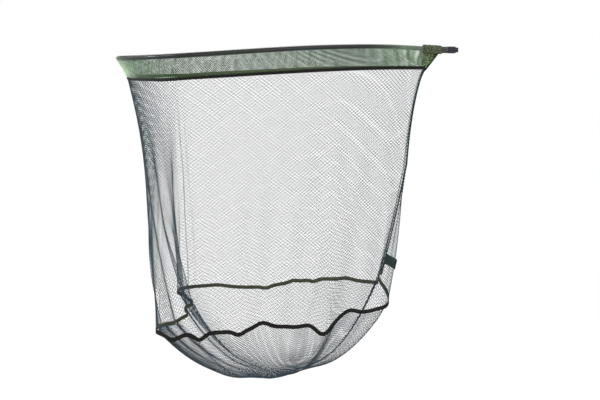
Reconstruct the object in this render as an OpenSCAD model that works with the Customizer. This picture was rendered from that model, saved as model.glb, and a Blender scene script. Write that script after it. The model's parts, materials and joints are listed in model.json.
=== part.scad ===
// Landing net head: a rigid spoon-shaped tube hoop on a moulded yoke, with a deep mesh bag.
// Origin: centre of the mouth of the threaded handle socket. +X points out of the socket
// towards the handle, the hoop reaches towards -X and the bag hangs towards -Z.
// Left and right are as the angler sees them, looking from the handle to the nose: left is -Y.

/* [Hoop] */
// Length from the yoke's hoop face to the centre line of the nose
hoop_len = 729; // [660:1:800]
// Width of the hoop over its centre line
hoop_w = 600; // [540:1:660]
// Bend radius of the nose
front_r = 420; // [400:1:520]
// Bend radius of the two front corners
corner_r = 95; // [70:1:120]
// Radius of the long bowed sides
side_r = 1400; // [1200:10:2000]
// Radius of the reverse bend where a side runs into the yoke
neck_r = 120; // [90:1:150]
// Outer diameter of the hoop tube
tube_d = 10; // [8:0.5:11]
// Wall of the hoop tube
tube_wall = 1.2; // [0.8:0.1:2]
// Height that the nose sits below the axis of the handle
nose_drop = 20; // [0:1:40]
// Upward tilt of the hoop tube as it leaves the yoke, in degrees
exit_tilt = 4.2; // [2:0.1:5]
// Pitch of the hoop at the nose, in degrees
nose_pitch = -1; // [-3:0.1:1]

/* [Yoke] */
// Distance between the two tube ends in the yoke
tube_gap = 18; // [16:0.5:22]
// Depth of each hoop socket in the yoke
hoop_socket_depth = 38; // [30:1:44]
// Wall of the yoke around a hoop socket
yoke_wall = 3; // [2.5:0.1:3.4]
// Diameter of the yoke's round neck
neck_d = 15.7; // [15:0.1:17]
// Length of the yoke's round neck
neck_len = 12; // [10:0.5:16]
// Length over which the yoke tapers to its neck
taper_len = 11; // [8:0.5:16]
// Diameter of the set screws that lock the hoop tube
set_screw_d = 4; // [3:0.5:5]

/* [Handle socket] */
// Diameter of the threaded bore, the major diameter of a 3/8 in thread
thread_d = 9.52; // [8:0.02:9.8]
// Depth of the threaded bore
thread_depth = 20; // [14:0.5:24]
// Outer diameter of the turned socket
socket_d = 12; // [11.6:0.1:12.6]
// Length of the socket's nose that stands out past the lock ring
socket_nose = 6.3; // [4:0.1:10]
// Length of the socket's root inside the yoke
socket_root = 16; // [14:0.5:18]
// Diameter of the cross pin through the socket's root
pin_d = 3; // [2:0.1:3.4]

/* [Lock ring] */
// Outer diameter of the lock ring
ring_d = 16.7; // [16:0.1:20]
// Length of the lock ring
ring_len = 19.8; // [16:0.1:24]
// Depth of the recess that hides the circlip
ring_recess = 2.6; // [2.2:0.1:4]
// Number of grip flutes around the ring
flute_count = 20; // [12:1:24]
// Thickness of the thrust washer behind the ring
washer_t = 0.8; // [0.5:0.1:1.5]
// Thickness of the circlip
clip_t = 1; // [0.8:0.1:1.2]

/* [Mesh sleeve] */
// Height of the sleeve from the tube's centre to the binding, at the sides
sleeve_h = 50; // [40:1:70]
// Height of the sleeve at the nose
sleeve_h_nose = 44; // [36:1:60]
// Lean of the sleeve towards the inside of the net, at its lower edge
sleeve_lean = 20; // [10:1:26]
// Thickness of the sleeve's fine mesh
sleeve_t = 0.6; // [0.4:0.1:1]
// Distance from the yoke's hoop face to the handle end of the binding
hem_tip_run = 4; // [2:0.5:10]

/* [Bag] */
// Depth from the handle's axis to the base seam
seam_depth = 630; // [560:1:700]
// Extra depth of the base seam at the nose
seam_sag_nose = 30; // [0:1:50]
// Height that the base seam rises at the handle end
seam_rise = 33; // [0:1:60]
// Depth from the handle's axis to the lowest point of the base
bag_depth = 790; // [740:1:860]
// Length of the base seam's outline
base_len = 566; // [500:1:620]
// Width of the base seam's outline
base_w = 540; // [460:1:580]
// Distance from the handle socket's mouth to the handle end of the base seam
base_end = 146; // [130:1:180]
// Bend radius of the base outline's front edge
base_front_r = 3000; // [1500:50:4000]
// Bend radius of the base outline's front corners
base_corner_r = 58; // [45:1:90]
// Radius of the base outline's sides
base_side_r = 900; // [700:10:1400]
// Radius of the base outline's handle end
base_tip_r = 45; // [30:1:60]
// Depth of the pleat where the handle seam gathers the base
seam_pleat = 40; // [0:1:50]
// How far one broad fold draws the right half of the base's front inwards
front_fold = 23; // [0:1:23]
// How much higher the base seam hangs on its right side, towards the handle end
right_rise = 34; // [0:1:45]
// How much lower the base seam hangs on its left side
left_sag = 8; // [0:1:20]
// Thickness of the bag's mesh
mesh_t = 1.2; // [0.8:0.1:2]
// Openings round each half of the bag's wall
mesh_columns = 12; // [8:1:16]
// Openings down the bag's wall
mesh_rows = 7; // [5:1:12]
// Width of the bars between the openings
mesh_bar = 7; // [4:0.5:10]
// Openings round the base
base_columns = 24; // [12:1:30]
// Rings of openings in the base
base_rows = 4; // [3:1:6]

/* [Tapes and label] */
// Height of the binding under the sleeve
binding_h = 7; // [5:0.5:12]
// Thickness of the binding
binding_t = 2.4; // [1.5:0.1:4]
// Width of the handle seam's tape
seam_tape_w = 6; // [4:0.5:10]
// Height of the tape over the base seam
base_tape_h = 8; // [5:0.5:12]
// Thickness of the seam tapes
tape_t = 2; // [1:0.1:3]
// Width of the bare label tab
tab_w = 29; // [20:1:40]
// Height of the label tab
tab_h = 20; // [12:1:30]
// Thickness of the label tab
tab_t = 1.2; // [0.8:0.1:2]

/* [Hidden] */
$fn = 64;

// Clearances: a sliding fit between turned parts, a loose fit of the tube, a gap between fabrics
fit_gap = 0.02;
turn_gap = 0.06;
tube_fit = 0.15;
cloth_gap = 0.5;
cut = 1; // how far a cutter runs past the face it cuts

// Places along the X axis, from the socket's mouth inwards
ring_front_x = -socket_nose;
ring_back_x = ring_front_x - ring_len;
neck_front_x = ring_back_x - turn_gap - washer_t;
neck_back_x = neck_front_x - neck_len;
taper_back_x = neck_back_x - taper_len;
root_back_x = neck_front_x - socket_root;
hoop_seat_x = root_back_x - 2.5;
yoke_face_x = hoop_seat_x - hoop_socket_depth * cos(exit_tilt);
yoke_face_z = hoop_socket_depth * sin(exit_tilt);
hoop_start_x = yoke_face_x - 2;
nose_x = yoke_face_x - hoop_len;
pin_x = neck_front_x - socket_root / 2;

tube_r = tube_d / 2;
barrel_r = tube_r + tube_fit + yoke_wall;
web_front_x = neck_back_x - 12;
web_front_z = -barrel_r - 3;
tube_y = tube_gap / 2;
socket_r = socket_d / 2;

// How finely the outlines are divided: nose, corner, side and end of each half
divisions = [6, 7, 14, 5];
tube_sides = 16;
half_count = divisions[0] + divisions[1] + divisions[2] + divisions[3];

function unit(v) = v / norm(v);
function mix(a, b, t) = a + (b - a) * t;

// The points of an arc about c, from angle a0 to a1, without its last point
function arc(c, r, a0, a1, n) =
    [for (k = [0 : n - 1]) c + r * [cos(a0 + (a1 - a0) * k / n), sin(a0 + (a1 - a0) * k / n)]];

// Half of a spoon outline from its nose to its handle end, as four arcs that run into each
// other. end_r is negative where the last bend turns the other way, into the yoke.
function half_outline(nx, hw, fr, cr, sr, end_c, end_r, end_a) =
    let (
        cf = [nx + fr, 0],
        cc = [cf.x - sqrt(pow(fr - cr, 2) - pow(hw - cr, 2)), hw - cr],
        v = end_c - cc,
        d = norm(v),
        e = v / d,
        a = sr - cr,
        m = (a * a - pow(sr - end_r, 2) + d * d) / (2 * d),
        cs = cc + m * e + sqrt(a * a - m * m) * [e.y, -e.x],
        a1 = atan2(cc.y - cf.y, cc.x - cf.x),
        a2 = atan2(cc.y - cs.y, cc.x - cs.x),
        a3 = atan2(end_c.y - cs.y, end_c.x - cs.x)
    )
    concat(
        arc(cf, fr, 180, a1, divisions[0]),
        arc(cc, cr, a1, a2, divisions[1]),
        arc(cs, sr, a2, a3, divisions[2]),
        arc(end_c, end_r, a3, end_a, divisions[3]),
        [end_c + end_r * [cos(end_a), sin(end_a)]]
    );

rim_plan = half_outline(nose_x, hoop_w / 2, front_r, corner_r, side_r,
    [hoop_start_x, tube_y + neck_r], -neck_r, 90);

hem_tip_r = 8;
hem_tip_x = yoke_face_x + hem_tip_run;
hem_plan = half_outline(nose_x + sleeve_lean, hoop_w / 2 - sleeve_lean, front_r - sleeve_lean,
    corner_r - sleeve_lean / 2, side_r, [hem_tip_x - hem_tip_r, 0], hem_tip_r, 0);

base_plan = half_outline(-base_end - base_len, base_w / 2, base_front_r, base_corner_r,
    base_side_r, [-base_end - base_tip_r, 0], base_tip_r, 0);

// Height of the hoop's centre line: it leaves the yoke at exit_tilt, crowns, and sinks to the
// nose. A cubic curve between the two ends.
function hoop_z(x) =
    let (
        v = max(0, (hoop_start_x - x) / (hoop_start_x - nose_x)),
        run = hoop_start_x - nose_x,
        z0 = yoke_face_z + (yoke_face_x - hoop_start_x) * tan(exit_tilt),
        z1 = -nose_drop,
        m0 = run * tan(exit_tilt),
        m1 = run * tan(nose_pitch)
    )
    z0 * (2 * pow(v, 3) - 3 * v * v + 1) + m0 * (pow(v, 3) - 2 * v * v + v)
    + z1 * (3 * v * v - 2 * pow(v, 3)) + m1 * (pow(v, 3) - v * v);

// Share of the way from the nose, 0, to the handle end, 1
function along(i) = i / half_count;

// Points of the right half. The left half is its mirror image.
function rim_point(i) = let (p = rim_plan[i]) [p.x, p.y, hoop_z(p.x)];

function hem_point(i) =
    let (
        p = hem_plan[i],
        drop = mix(sleeve_h_nose, sleeve_h, min(1, along(i) * 4))
    )
    [p.x, p.y, hoop_z(rim_plan[i].x) - drop];

// The handle seam pulls a pleat into the bag's end, from this share of the depth downwards
pleat_start = 0.45;
function pleat_at(p, t, u) =
    u < 0.5 ? 0
    : seam_pleat * exp(-pow(2 * p.y / base_tip_r, 2)) * max(0, t - pleat_start) / (1 - pleat_start);

// 0 below low, 1 above high, and an even curve between them
function ease(v, low, high) =
    let (x = min(1, max(0, (v - low) / (high - low)))) x * x * (3 - 2 * x);

// How the hung base seam departs from the plain one, as [inwards, up]. y runs to the right
// from the middle plane, and the shares are of the base's half width and of its length.
function drape(p, y, u) =
    let (
        across = 2 * y / base_w,
        run = 1 + (p.x + base_end) / base_len,
        right = ease(across, -0.17, 0.09),
        fold = ease(across, -0.3, 0.22) * (1 - ease(across, 0.63, 0.93)),
        front = 1 - ease(u, 0.22, 0.3)
    )
    [front_fold * fold * front, mix(-left_sag, right_rise * ease(run, 0.32, 0.75), right)];

// The base seam is level along the sides, lower at the nose and raised at the handle end.
// Points are those of one half with y away from the middle plane, and side is -1 for the left.
function seam_point(i, side) =
    let (
        p = base_plan[i],
        u = along(i),
        pleat = pleat_at(p, 1, u),
        sag = seam_sag_nose * pow(max(0, 1 - 4 * u), 2),
        rise = seam_rise * pow(u, 3),
        hung = drape(p, side * p.y, u)
    )
    [p.x - pleat + hung[0], p.y, rise - seam_depth - sag + pleat + hung[1]];

// Share of the way inwards, from the binding's outline to the base's, at share t of the depth.
// The bag draws in quickly under the binding, more so at the handle end, and then hangs steeply.
function draw_in(t, u) = pow(t, 1 - 0.42 * u) + (0.09 - 0.04 * u) * sin(360 * t);

function wall_point(i, t, side) =
    let (
        a = hem_point(i),
        p = base_plan[i],
        b = seam_point(i, side),
        u = along(i),
        g = draw_in(t, u),
        inwards = drape(p, side * p.y, u)[0] * pow(t, 1.2)
    )
    [mix(a.x, p.x, g) - pleat_at(p, t, u) + inwards, mix(a.y, p.y, g), mix(a.z, b.z, t)];

// Keeps a point of the right half at least a gap away from the middle plane
function off_middle(p, gap) = [p.x, max(p.y, gap), p.z];
function flip(p) = [p.x, -p.y, p.z];

// A closed loop through both halves, from the nose round the right side and back
function loop_of(right, left) =
    concat(right, [for (i = [half_count - 1 : -1 : 1]) flip(left[i])]);

// The direction of a closed loop at one of its points, and the given one square to it
function loop_run(points, k) =
    let (n = len(points)) unit(points[(k + 1) % n] - points[(k + n - 1) % n]);
function loop_up(points, ups, k) =
    let (run = loop_run(points, k)) unit(ups[k] - run * (ups[k] * run));

function quad(a, b, c, d) = [[a, b, c], [a, c, d]];

// A solid through a list of rings, each with the same number of points. A closed one returns
// to its first ring, and an open one is capped at both ends.
module loft(rings, closed = false) {
    n = len(rings);
    m = len(rings[0]);
    walls = [
        for (i = [0 : (closed ? n - 1 : n - 2)]) for (k = [0 : m - 1])
            each quad(i * m + k, i * m + (k + 1) % m,
                ((i + 1) % n) * m + (k + 1) % m, ((i + 1) % n) * m + k)
    ];
    caps = closed ? [] : [
        [for (k = [m - 1 : -1 : 0]) k],
        [for (k = [0 : m - 1]) (n - 1) * m + k]
    ];
    polyhedron(points = [for (r = rings) each r], faces = concat(walls, caps), convexity = 12);
}

// A hollow run between outer and inner rings, open at both ends
module pipe(outer, inner) {
    n = len(outer);
    m = len(outer[0]);
    inside = n * m;
    skin = [
        for (i = [0 : n - 2]) for (k = [0 : m - 1])
            each quad(i * m + k, (i + 1) * m + k, (i + 1) * m + (k + 1) % m, i * m + (k + 1) % m)
    ];
    lining = [for (f = skin) [f[2] + inside, f[1] + inside, f[0] + inside]];
    ends = [
        for (k = [0 : m - 1]) each concat(
            quad(k, (k + 1) % m, inside + (k + 1) % m, inside + k),
            quad(inside + (n - 1) * m + k, inside + (n - 1) * m + (k + 1) % m,
                (n - 1) * m + (k + 1) % m, (n - 1) * m + k)
        )
    ];
    points = concat([for (r = outer) each r], [for (r = inner) each r]);
    polyhedron(points = points, faces = concat(skin, lining, ends), convexity = 12);
}

// A sheet of thickness t about a grid of points. The cell between lines i and i + 1 and lines
// j and j + 1 is an opening where both open_i[i] and open_j[j] are true.
module netting(grid, t, open_i, open_j) {
    ni = len(grid) - 1;
    nj = len(grid[0]) - 1;
    normals = [
        for (i = [0 : ni]) [
            for (j = [0 : nj]) unit(cross(
                grid[min(i + 1, ni)][j] - grid[max(i - 1, 0)][j],
                grid[i][min(j + 1, nj)] - grid[i][max(j - 1, 0)]
            ))
        ]
    ];
    row = nj + 1;
    under = (ni + 1) * row;
    function filled(i, j) =
        i >= 0 && i < ni && j >= 0 && j < nj && !(open_i[i] && open_j[j]);
    // Turned the other way round where the filled cell is on the other side of the edge
    function side(a, b, turned) =
        turned ? quad(b, a, under + a, under + b) : quad(a, b, under + b, under + a);

    skin = [
        for (i = [0 : ni - 1]) for (j = [0 : nj - 1]) if (filled(i, j))
            each quad(i * row + j, i * row + j + 1, (i + 1) * row + j + 1, (i + 1) * row + j)
    ];
    lining = [for (f = skin) [f[2] + under, f[1] + under, f[0] + under]];
    edges_down = [
        for (i = [0 : ni]) for (j = [0 : nj - 1]) if (filled(i, j) != filled(i - 1, j))
            each side(i * row + j + 1, i * row + j, filled(i - 1, j))
    ];
    edges_along = [
        for (i = [0 : ni - 1]) for (j = [0 : nj]) if (filled(i, j) != filled(i, j - 1))
            each side(i * row + j, (i + 1) * row + j, filled(i, j - 1))
    ];
    points = [
        for (face = [1, -1]) for (i = [0 : ni]) for (j = [0 : nj])
            grid[i][j] + normals[i][j] * face * t / 2
    ];
    polyhedron(
        points = points, faces = concat(skin, lining, edges_down, edges_along), convexity = 12
    );
}

// A bowl between two skins of rings, from the edge inwards, each closed by its own pole. The
// cell after ring j and point k is an opening where both open_j[j] and open_k[k] are true.
module bowl(outer, inner, outer_pole, inner_pole, open_j, open_k) {
    n = len(outer);
    m = len(outer[0]);
    pole = n * m;
    inside = pole + 1;
    function at(j, k) = j * m + k % m;
    function filled(j, k) = j >= 0 && !(open_j[j] && open_k[k % m]);
    // Turned the other way round where the filled cell is on the other side of the edge
    function side(a, b, turned) =
        turned ? quad(b, a, inside + a, inside + b) : quad(a, b, inside + b, inside + a);

    skin = concat(
        [
            for (j = [0 : n - 2]) for (k = [0 : m - 1]) if (filled(j, k))
                each quad(at(j, k), at(j + 1, k), at(j + 1, k + 1), at(j, k + 1))
        ],
        [for (k = [0 : m - 1]) [at(n - 1, k), pole, at(n - 1, k + 1)]]
    );
    lining = [for (f = skin) [f[2] + inside, f[1] + inside, f[0] + inside]];
    edges_round = [
        for (j = [0 : n - 1]) for (k = [0 : m - 1]) if (filled(j, k) != filled(j - 1, k))
            each side(at(j, k), at(j, k + 1), filled(j - 1, k))
    ];
    edges_in = [
        for (j = [0 : n - 2]) for (k = [0 : m - 1]) if (filled(j, k) != filled(j, k + m - 1))
            each side(at(j + 1, k), at(j, k), filled(j, k + m - 1))
    ];
    points = concat(
        [for (r = outer) each r], [outer_pole],
        [for (r = inner) each r], [inner_pole]
    );
    polyhedron(
        points = points, faces = concat(skin, lining, edges_round, edges_in), convexity = 12
    );
}

// The direction along a list of points at one of them, level with the ground where asked
function heading(points, k) =
    unit(points[min(k + 1, len(points) - 1)] - points[max(k - 1, 0)]);
function outward(points, k) = let (h = heading(points, k)) unit(cross([0, 0, 1], h));

// The hoop's centre line, from the right socket's seat round the nose to the left one
half_path = concat(
    [for (i = [0 : half_count]) rim_point(i)],
    [[yoke_face_x, tube_y, yoke_face_z], [hoop_seat_x - 0.5, tube_y, 0.5 * tan(exit_tilt)]]
);
hoop_path = concat(
    [for (k = [len(half_path) - 1 : -1 : 0]) half_path[k]],
    [for (k = [1 : len(half_path) - 1]) flip(half_path[k])]
);

function tube_rings(path, r, sides) = [
    for (k = [0 : len(path) - 1])
        let (h = heading(path, k), n = outward(path, k), b = cross(h, n)) [
            for (s = [0 : sides - 1])
                path[k] + r * (cos(360 * s / sides) * n + sin(360 * s / sides) * b)
        ]
];

module hoop_tube() {
    color("#23272a") pipe(
        tube_rings(hoop_path, tube_r, tube_sides),
        tube_rings(hoop_path, tube_r - tube_wall, tube_sides)
    );
}

// Places a child at a hoop socket's seat, with +X out along the socket towards the hoop
module at_hoop_seat() {
    translate([hoop_seat_x, tube_y, 0]) rotate([0, 180 + exit_tilt, 0]) children();
}

module at_both_seats() {
    at_hoop_seat() children();
    mirror([0, 1, 0]) at_hoop_seat() children();
}

// A cylinder along +X from x to x + len
module rod(x, len, r) {
    translate([x, 0, 0]) rotate([0, 90, 0]) cylinder(h = len, r = r);
}

// A plug in each end of the tube keeps the set screw from crushing it
module tube_plug_right() {
    plug_r = (tube_r - tube_wall) * cos(180 / tube_sides) - 0.08;
    plug_len = 24;
    color("#1a1a1a") at_hoop_seat() rod(1, plug_len, plug_r);
}
module tube_plug_left() { mirror([0, 1, 0]) tube_plug_right(); }

set_screw_run = hoop_socket_depth / 2;

module yoke_solid(grow, from_x, to_x) {
    intersection() {
        union() {
            hull() at_both_seats() rod(-1, hoop_socket_depth + 1, barrel_r + grow);
            hull() {
                at_both_seats() rod(-1, 4, barrel_r + grow);
                rod(neck_back_x, 1, neck_d / 2 + grow);
            }
            rod(neck_back_x, neck_len, neck_d / 2 + grow);
        }
        translate([from_x, -tube_gap * 2, -tube_gap * 2])
            cube([to_x - from_x, tube_gap * 4, tube_gap * 4]);
    }
}

module yoke_body() {
    color("#2e3034") difference() {
        yoke_solid(0, yoke_face_x - 2, neck_front_x);
        at_both_seats() rod(0, hoop_socket_depth + cut + 2, tube_r + tube_fit);
        rod(root_back_x, socket_root + cut, socket_r + fit_gap);
        translate([pin_x, 0, -neck_d]) cylinder(h = neck_d * 2, d = pin_d + 2 * fit_gap);
        at_both_seats() translate([set_screw_run, 0, 0]) cylinder(h = barrel_r * 2, d = set_screw_d);
    }
}

// Set screws from below, with a hexagon socket in the outer end, stopped just off the tube
module hoop_set_screws() {
    tip = tube_r + 0.05;
    len = barrel_r - tip - 0.2;
    hex_depth = 1.4;
    color("#8a8d90") at_both_seats() translate([set_screw_run, 0, tip]) difference() {
        cylinder(h = len, d = set_screw_d - 2 * fit_gap);
        translate([0, 0, len - hex_depth])
            cylinder(h = hex_depth + cut, d = set_screw_d / 2, $fn = 6);
    }
}

clip_back_x = ring_front_x - ring_recess + 0.3;

module handle_socket() {
    groove_r = socket_r - 0.5;
    chamfer = 0.6;
    color("#3a3b40") difference() {
        rotate([0, 90, 0]) rotate_extrude() polygon([
            [0, root_back_x + 0.2],
            [socket_r, root_back_x + 0.2],
            [socket_r, clip_back_x],
            [groove_r, clip_back_x],
            [groove_r, clip_back_x + clip_t + 0.1],
            [socket_r, clip_back_x + clip_t + 0.1],
            [socket_r, -chamfer],
            [socket_r - chamfer, 0],
            [0, 0]
        ]);
        rod(-thread_depth, thread_depth + cut, thread_d / 2);
        translate([pin_x, 0, -neck_d]) cylinder(h = neck_d * 2, d = pin_d + 2 * fit_gap);
    }
}

module socket_pin() {
    pin_len = neck_d - 1;
    color("#8a8d90") translate([pin_x, 0, -pin_len / 2]) cylinder(h = pin_len, d = pin_d);
}

module thrust_washer() {
    color("#d8d8d2") difference() {
        rod(neck_front_x + fit_gap, washer_t - 2 * fit_gap, neck_d / 2);
        rod(neck_front_x - cut, washer_t + 2 * cut, socket_r + turn_gap);
    }
}

module lock_ring() {
    chamfer = 0.6;
    flute_r = 0.7;
    flute_sink = 0.25;
    flute_len = ring_len - 7;
    back = ring_back_x;
    color("#3a3b40") difference() {
        rotate([0, 90, 0]) rotate_extrude() polygon([
            [socket_r + turn_gap, back],
            [ring_d / 2 - chamfer, back],
            [ring_d / 2, back + chamfer],
            [ring_d / 2, ring_front_x - chamfer],
            [ring_d / 2 - chamfer, ring_front_x],
            [socket_r + 1.5, ring_front_x],
            [socket_r + 1.5, ring_front_x - ring_recess],
            [socket_r + turn_gap, ring_front_x - ring_recess]
        ]);
        for (k = [0 : flute_count - 1])
            rotate([360 * k / flute_count, 0, 0])
                translate([0, 0, ring_d / 2 + flute_r - flute_sink])
                    rod(back + 2.5, flute_len, flute_r);
    }
}

// An open ring in the socket's groove, in the lock ring's recess
module circlip() {
    mouth = 3;
    color("#b9bcc0") difference() {
        rod(clip_back_x + 0.05, clip_t, socket_r + 1.2);
        rod(clip_back_x - cut, clip_t + 2 * cut, socket_r - 0.45);
        translate([clip_back_x - cut, -mouth / 2, 0]) cube([clip_t + 2 * cut, mouth, socket_d]);
    }
}

// The sleeve goes over the tube and both its layers run down to the binding
rim_half = [for (i = [0 : half_count]) rim_point(i)];
hem_half = [for (i = [0 : half_count]) hem_point(i)];
seam_right = [for (i = [0 : half_count]) seam_point(i, 1)];
seam_left = [for (i = [0 : half_count]) seam_point(i, -1)];

hem_loop = loop_of(hem_half, hem_half);
rim_loop = loop_of(rim_half, rim_half);
seam_loop = loop_of(seam_right, seam_left);

hem_tip_lift = 2.4; // how much higher the sleeve's edge runs round the binding's tight end

function sleeve_ring(i, r, rise, spread, side_gap) =
    let (
        c = rim_half[i],
        n = outward(rim_half, i),
        lift = binding_h / 2 + rise + hem_tip_lift * max(0, 5 * along(i) - 4),
        foot = hem_half[i] + loop_up(hem_loop, rim_loop - hem_loop, i) * lift
    )
    concat(
        [
            for (a = [-30 : 30 : 210])
                off_middle(c + r * (cos(a) * n + [0, 0, sin(a)]), side_gap)
        ],
        [off_middle(foot - spread * n, side_gap), off_middle(foot + spread * n, side_gap + spread)]
    );

module sleeve_right() {
    outer_r = tube_r + cloth_gap + sleeve_t;
    outer = [
        for (i = [0 : half_count])
            sleeve_ring(i, outer_r, cloth_gap, cloth_gap + sleeve_t, cloth_gap)
    ];
    inner = [
        for (i = [0 : half_count])
            sleeve_ring(i, outer_r - sleeve_t, cloth_gap + 2 * sleeve_t, cloth_gap, cloth_gap + sleeve_t)
    ];
    color("#97aa9b") pipe(outer, inner);
}
module sleeve_left() { mirror([0, 1, 0]) sleeve_right(); }

// The sleeve's gathered ends, wrapped round the yoke, with the web where both sides meet below
module neck_wrap() {
    wrap_t = 0.8;
    wrap_gap = 0.2;
    web_t = 2;
    back = yoke_face_x + 1;
    under = -barrel_r + 1.5;
    color("#5c6a58") difference() {
        union() {
            yoke_solid(wrap_gap + wrap_t, back, neck_back_x - cloth_gap);
            translate([0, web_t / 2, 0]) rotate([90, 0, 0]) linear_extrude(web_t) polygon([
                [back, under],
                [web_front_x, under],
                [web_front_x, web_front_z],
                [hem_tip_x + cloth_gap, hem_half[half_count].z + binding_h / 2 + 2 * cloth_gap]
            ]);
        }
        yoke_solid(wrap_gap, back - cut, neck_back_x);
    }
}

// A tape of height h and thickness t that follows a closed list of points. The second list
// gives the direction of the tape's height at each point, as unit vectors.
module loop_tape(points, ups, h, t) {
    n = len(points);
    rings = [
        for (k = [0 : n - 1])
            let (
                up = ups[k],
                across = unit(cross(loop_run(points, k), up))
            )
            [
                points[k] + up * h / 2 + across * t / 2,
                points[k] + up * h / 2 - across * t / 2,
                points[k] - up * h / 2 - across * t / 2,
                points[k] - up * h / 2 + across * t / 2
            ]
    ];
    loft(rings, closed = true);
}

module sleeve_binding() {
    ups = [for (k = [0 : len(hem_loop) - 1]) loop_up(hem_loop, rim_loop - hem_loop, k)];
    color("#1f1f1b") loop_tape(hem_loop, ups, binding_h, binding_t);
}

// The bag's wall is least high at the handle end, from the binding down to the base seam
wall_h = hem_half[half_count].z - seam_right[half_count].z;
wall_top = (binding_h / 2 + 2 * cloth_gap) / wall_h;
wall_foot = 1 - (base_tape_h / 2 + 2 * cloth_gap) / wall_h;

// Shares of the depth at the top and the foot of each bar, from the binding to the base seam
bar_share = mesh_bar / wall_h;
wall_shares = [
    for (j = [0 : mesh_rows])
        let (top = mix(wall_top, wall_foot - bar_share, j / mesh_rows))
        each [top, top + bar_share]
];

// Runs from the nose to each point of the half outline, by the longer of the wall's two edges
function edge_step(i) =
    max(norm(hem_half[i + 1] - hem_half[i]), norm(seam_right[i + 1] - seam_right[i]));
wall_runs = [
    for (i = 0, run = 0; i <= half_count; run = run + (i < half_count ? edge_step(i) : 0), i = i + 1)
        [run, i]
];

// Lines down the wall at these places round the half outline, counted in its points: the edges
// of each upright bar and the points between them. Each has whether an opening comes after it.
mesh_pitch = wall_runs[half_count][0] / mesh_columns;
least_step = 0.15;
wall_lines = [
    [0, false],
    for (k = [1 : mesh_columns])
        let (
            last_bar = k < mesh_columns ? mesh_bar / 2 : mesh_bar,
            from = lookup((k - 1) * mesh_pitch + mesh_bar / 2, wall_runs),
            to = lookup(k * mesh_pitch - last_bar, wall_runs)
        )
        each [
            [from, true],
            for (i = [ceil(from + least_step) : 1 : floor(to - least_step)]) [i, true],
            [to, false]
        ],
    [half_count, false]
];

// Each half is made on the right, as hung on its own side, and the left one is then mirrored
module wall_half(side) {
    grid = [
        for (line = wall_lines)
            let (x = line[0], i = min(floor(x), half_count - 1)) [
                for (t = wall_shares)
                    off_middle(
                        mix(wall_point(i, t, side), wall_point(i + 1, t, side), x - i),
                        cloth_gap + mesh_t / 2
                    )
            ]
    ];
    color("#c9ccd2") netting(
        grid, mesh_t,
        [for (line = wall_lines) line[1]],
        [for (j = [0 : len(wall_shares) - 1]) j % 2 == 1]
    );
}

module wall_right() { wall_half(1); }
module wall_left() { mirror([0, 1, 0]) wall_half(-1); }

// A tape down the handle end, outside the edges of the sleeve's web and of the mesh. It stands
// off by as much as the mesh rises beside the pleat under half of the tape's width.
seam_stand_off = mesh_t + binding_t / 2 + cloth_gap + tape_t / 2;

function seam_line_point(t) =
    let (
        p = wall_point(half_count, t, 1),
        beside = wall_point(half_count - 1, t, 1),
        rise = max(0, beside.x - p.x) * (seam_tape_w / 2 + mesh_t) / beside.y
    )
    p + [seam_stand_off + rise, 0, 0];

module handle_seam() {
    hem_tip = hem_half[half_count] + [seam_stand_off, 0, 0];
    line = concat(
        [
            [web_front_x + seam_stand_off, 0, web_front_z],
            hem_tip,
            hem_tip - [0, 0, binding_h / 2 + 2 * cloth_gap]
        ],
        [for (j = [1 : len(wall_shares) - 1]) seam_line_point(wall_shares[j])]
    );
    rings = [
        for (p = line) [
            p + [tape_t / 2, -seam_tape_w / 2, 0],
            p + [tape_t / 2, seam_tape_w / 2, 0],
            p + [-tape_t / 2, seam_tape_w / 2, 0],
            p + [-tape_t / 2, -seam_tape_w / 2, 0]
        ]
    ];
    color("#2c3a30") loft(rings);
}

module base_seam() {
    ups = [for (p = seam_loop) [0, 0, 1]];
    color("#17150f") loop_tape(seam_loop, ups, base_tape_h, tape_t);
}

// The base of finer mesh, a deep bowl hung inside the seam's tape
base_centre = [-base_end - base_len / 2, 0];
seam_count = len(seam_loop);
base_edge = [
    for (k = [0 : seam_count - 1])
        seam_loop[k] - [0, 0, base_tape_h / 2 - cloth_gap]
        + unit(cross(loop_run(seam_loop, k), [0, 0, 1])) * (tape_t / 2 + cloth_gap + mesh_t)
];

// Runs round the base's edge, and the edges of the bars from it to the middle, as wall_lines
base_runs = [
    for (k = 0, run = 0; k <= seam_count;
        run = run + norm(base_edge[(k + 1) % seam_count] - base_edge[k % seam_count]), k = k + 1)
        [run, k]
];
base_pitch = base_runs[seam_count][0] / base_columns;
base_lines = [
    for (k = [1 : base_columns])
        let (
            from = lookup((k - 1) * base_pitch + mesh_bar / 2, base_runs),
            to = lookup(k * base_pitch - mesh_bar / 2, base_runs)
        )
        each [
            [from, true],
            for (i = [ceil(from + least_step) : 1 : floor(to - least_step)]) [i, true],
            [to, false]
        ]
];

// Shares of the way out from the middle at the edges of each ring of bars. The last is the hub.
hub_share = 0.2;
base_bar = 2 * mesh_bar / base_w;
base_shares = [
    for (j = [0 : base_rows])
        let (outer = mix(1, hub_share, j / base_rows)) each [outer, outer - base_bar]
];

function pan_point(k, s, lift) =
    let (
        p = base_edge[k % seam_count],
        plan = base_centre + ([p.x, p.y] - base_centre) * s,
        z = mix(-bag_depth, p.z, pow(s, 2.6))
    )
    [plan.x, plan.y, z + lift];

function pan_ring(s, lift) = [
    for (line = base_lines)
        let (k = floor(line[0]))
        mix(pan_point(k, s, lift), pan_point(k + 1, s, lift), line[0] - k)
];

module base_pan() {
    pole = [base_centre.x, base_centre.y, -bag_depth];
    color("#b6bac2") bowl(
        [for (s = base_shares) pan_ring(s, 0)],
        [for (s = base_shares) pan_ring(s, mesh_t)],
        pole, pole + [0, 0, mesh_t],
        [for (j = [0 : base_rows]) each [false, j < base_rows]],
        [for (line = base_lines) line[1]]
    );
}

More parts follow.
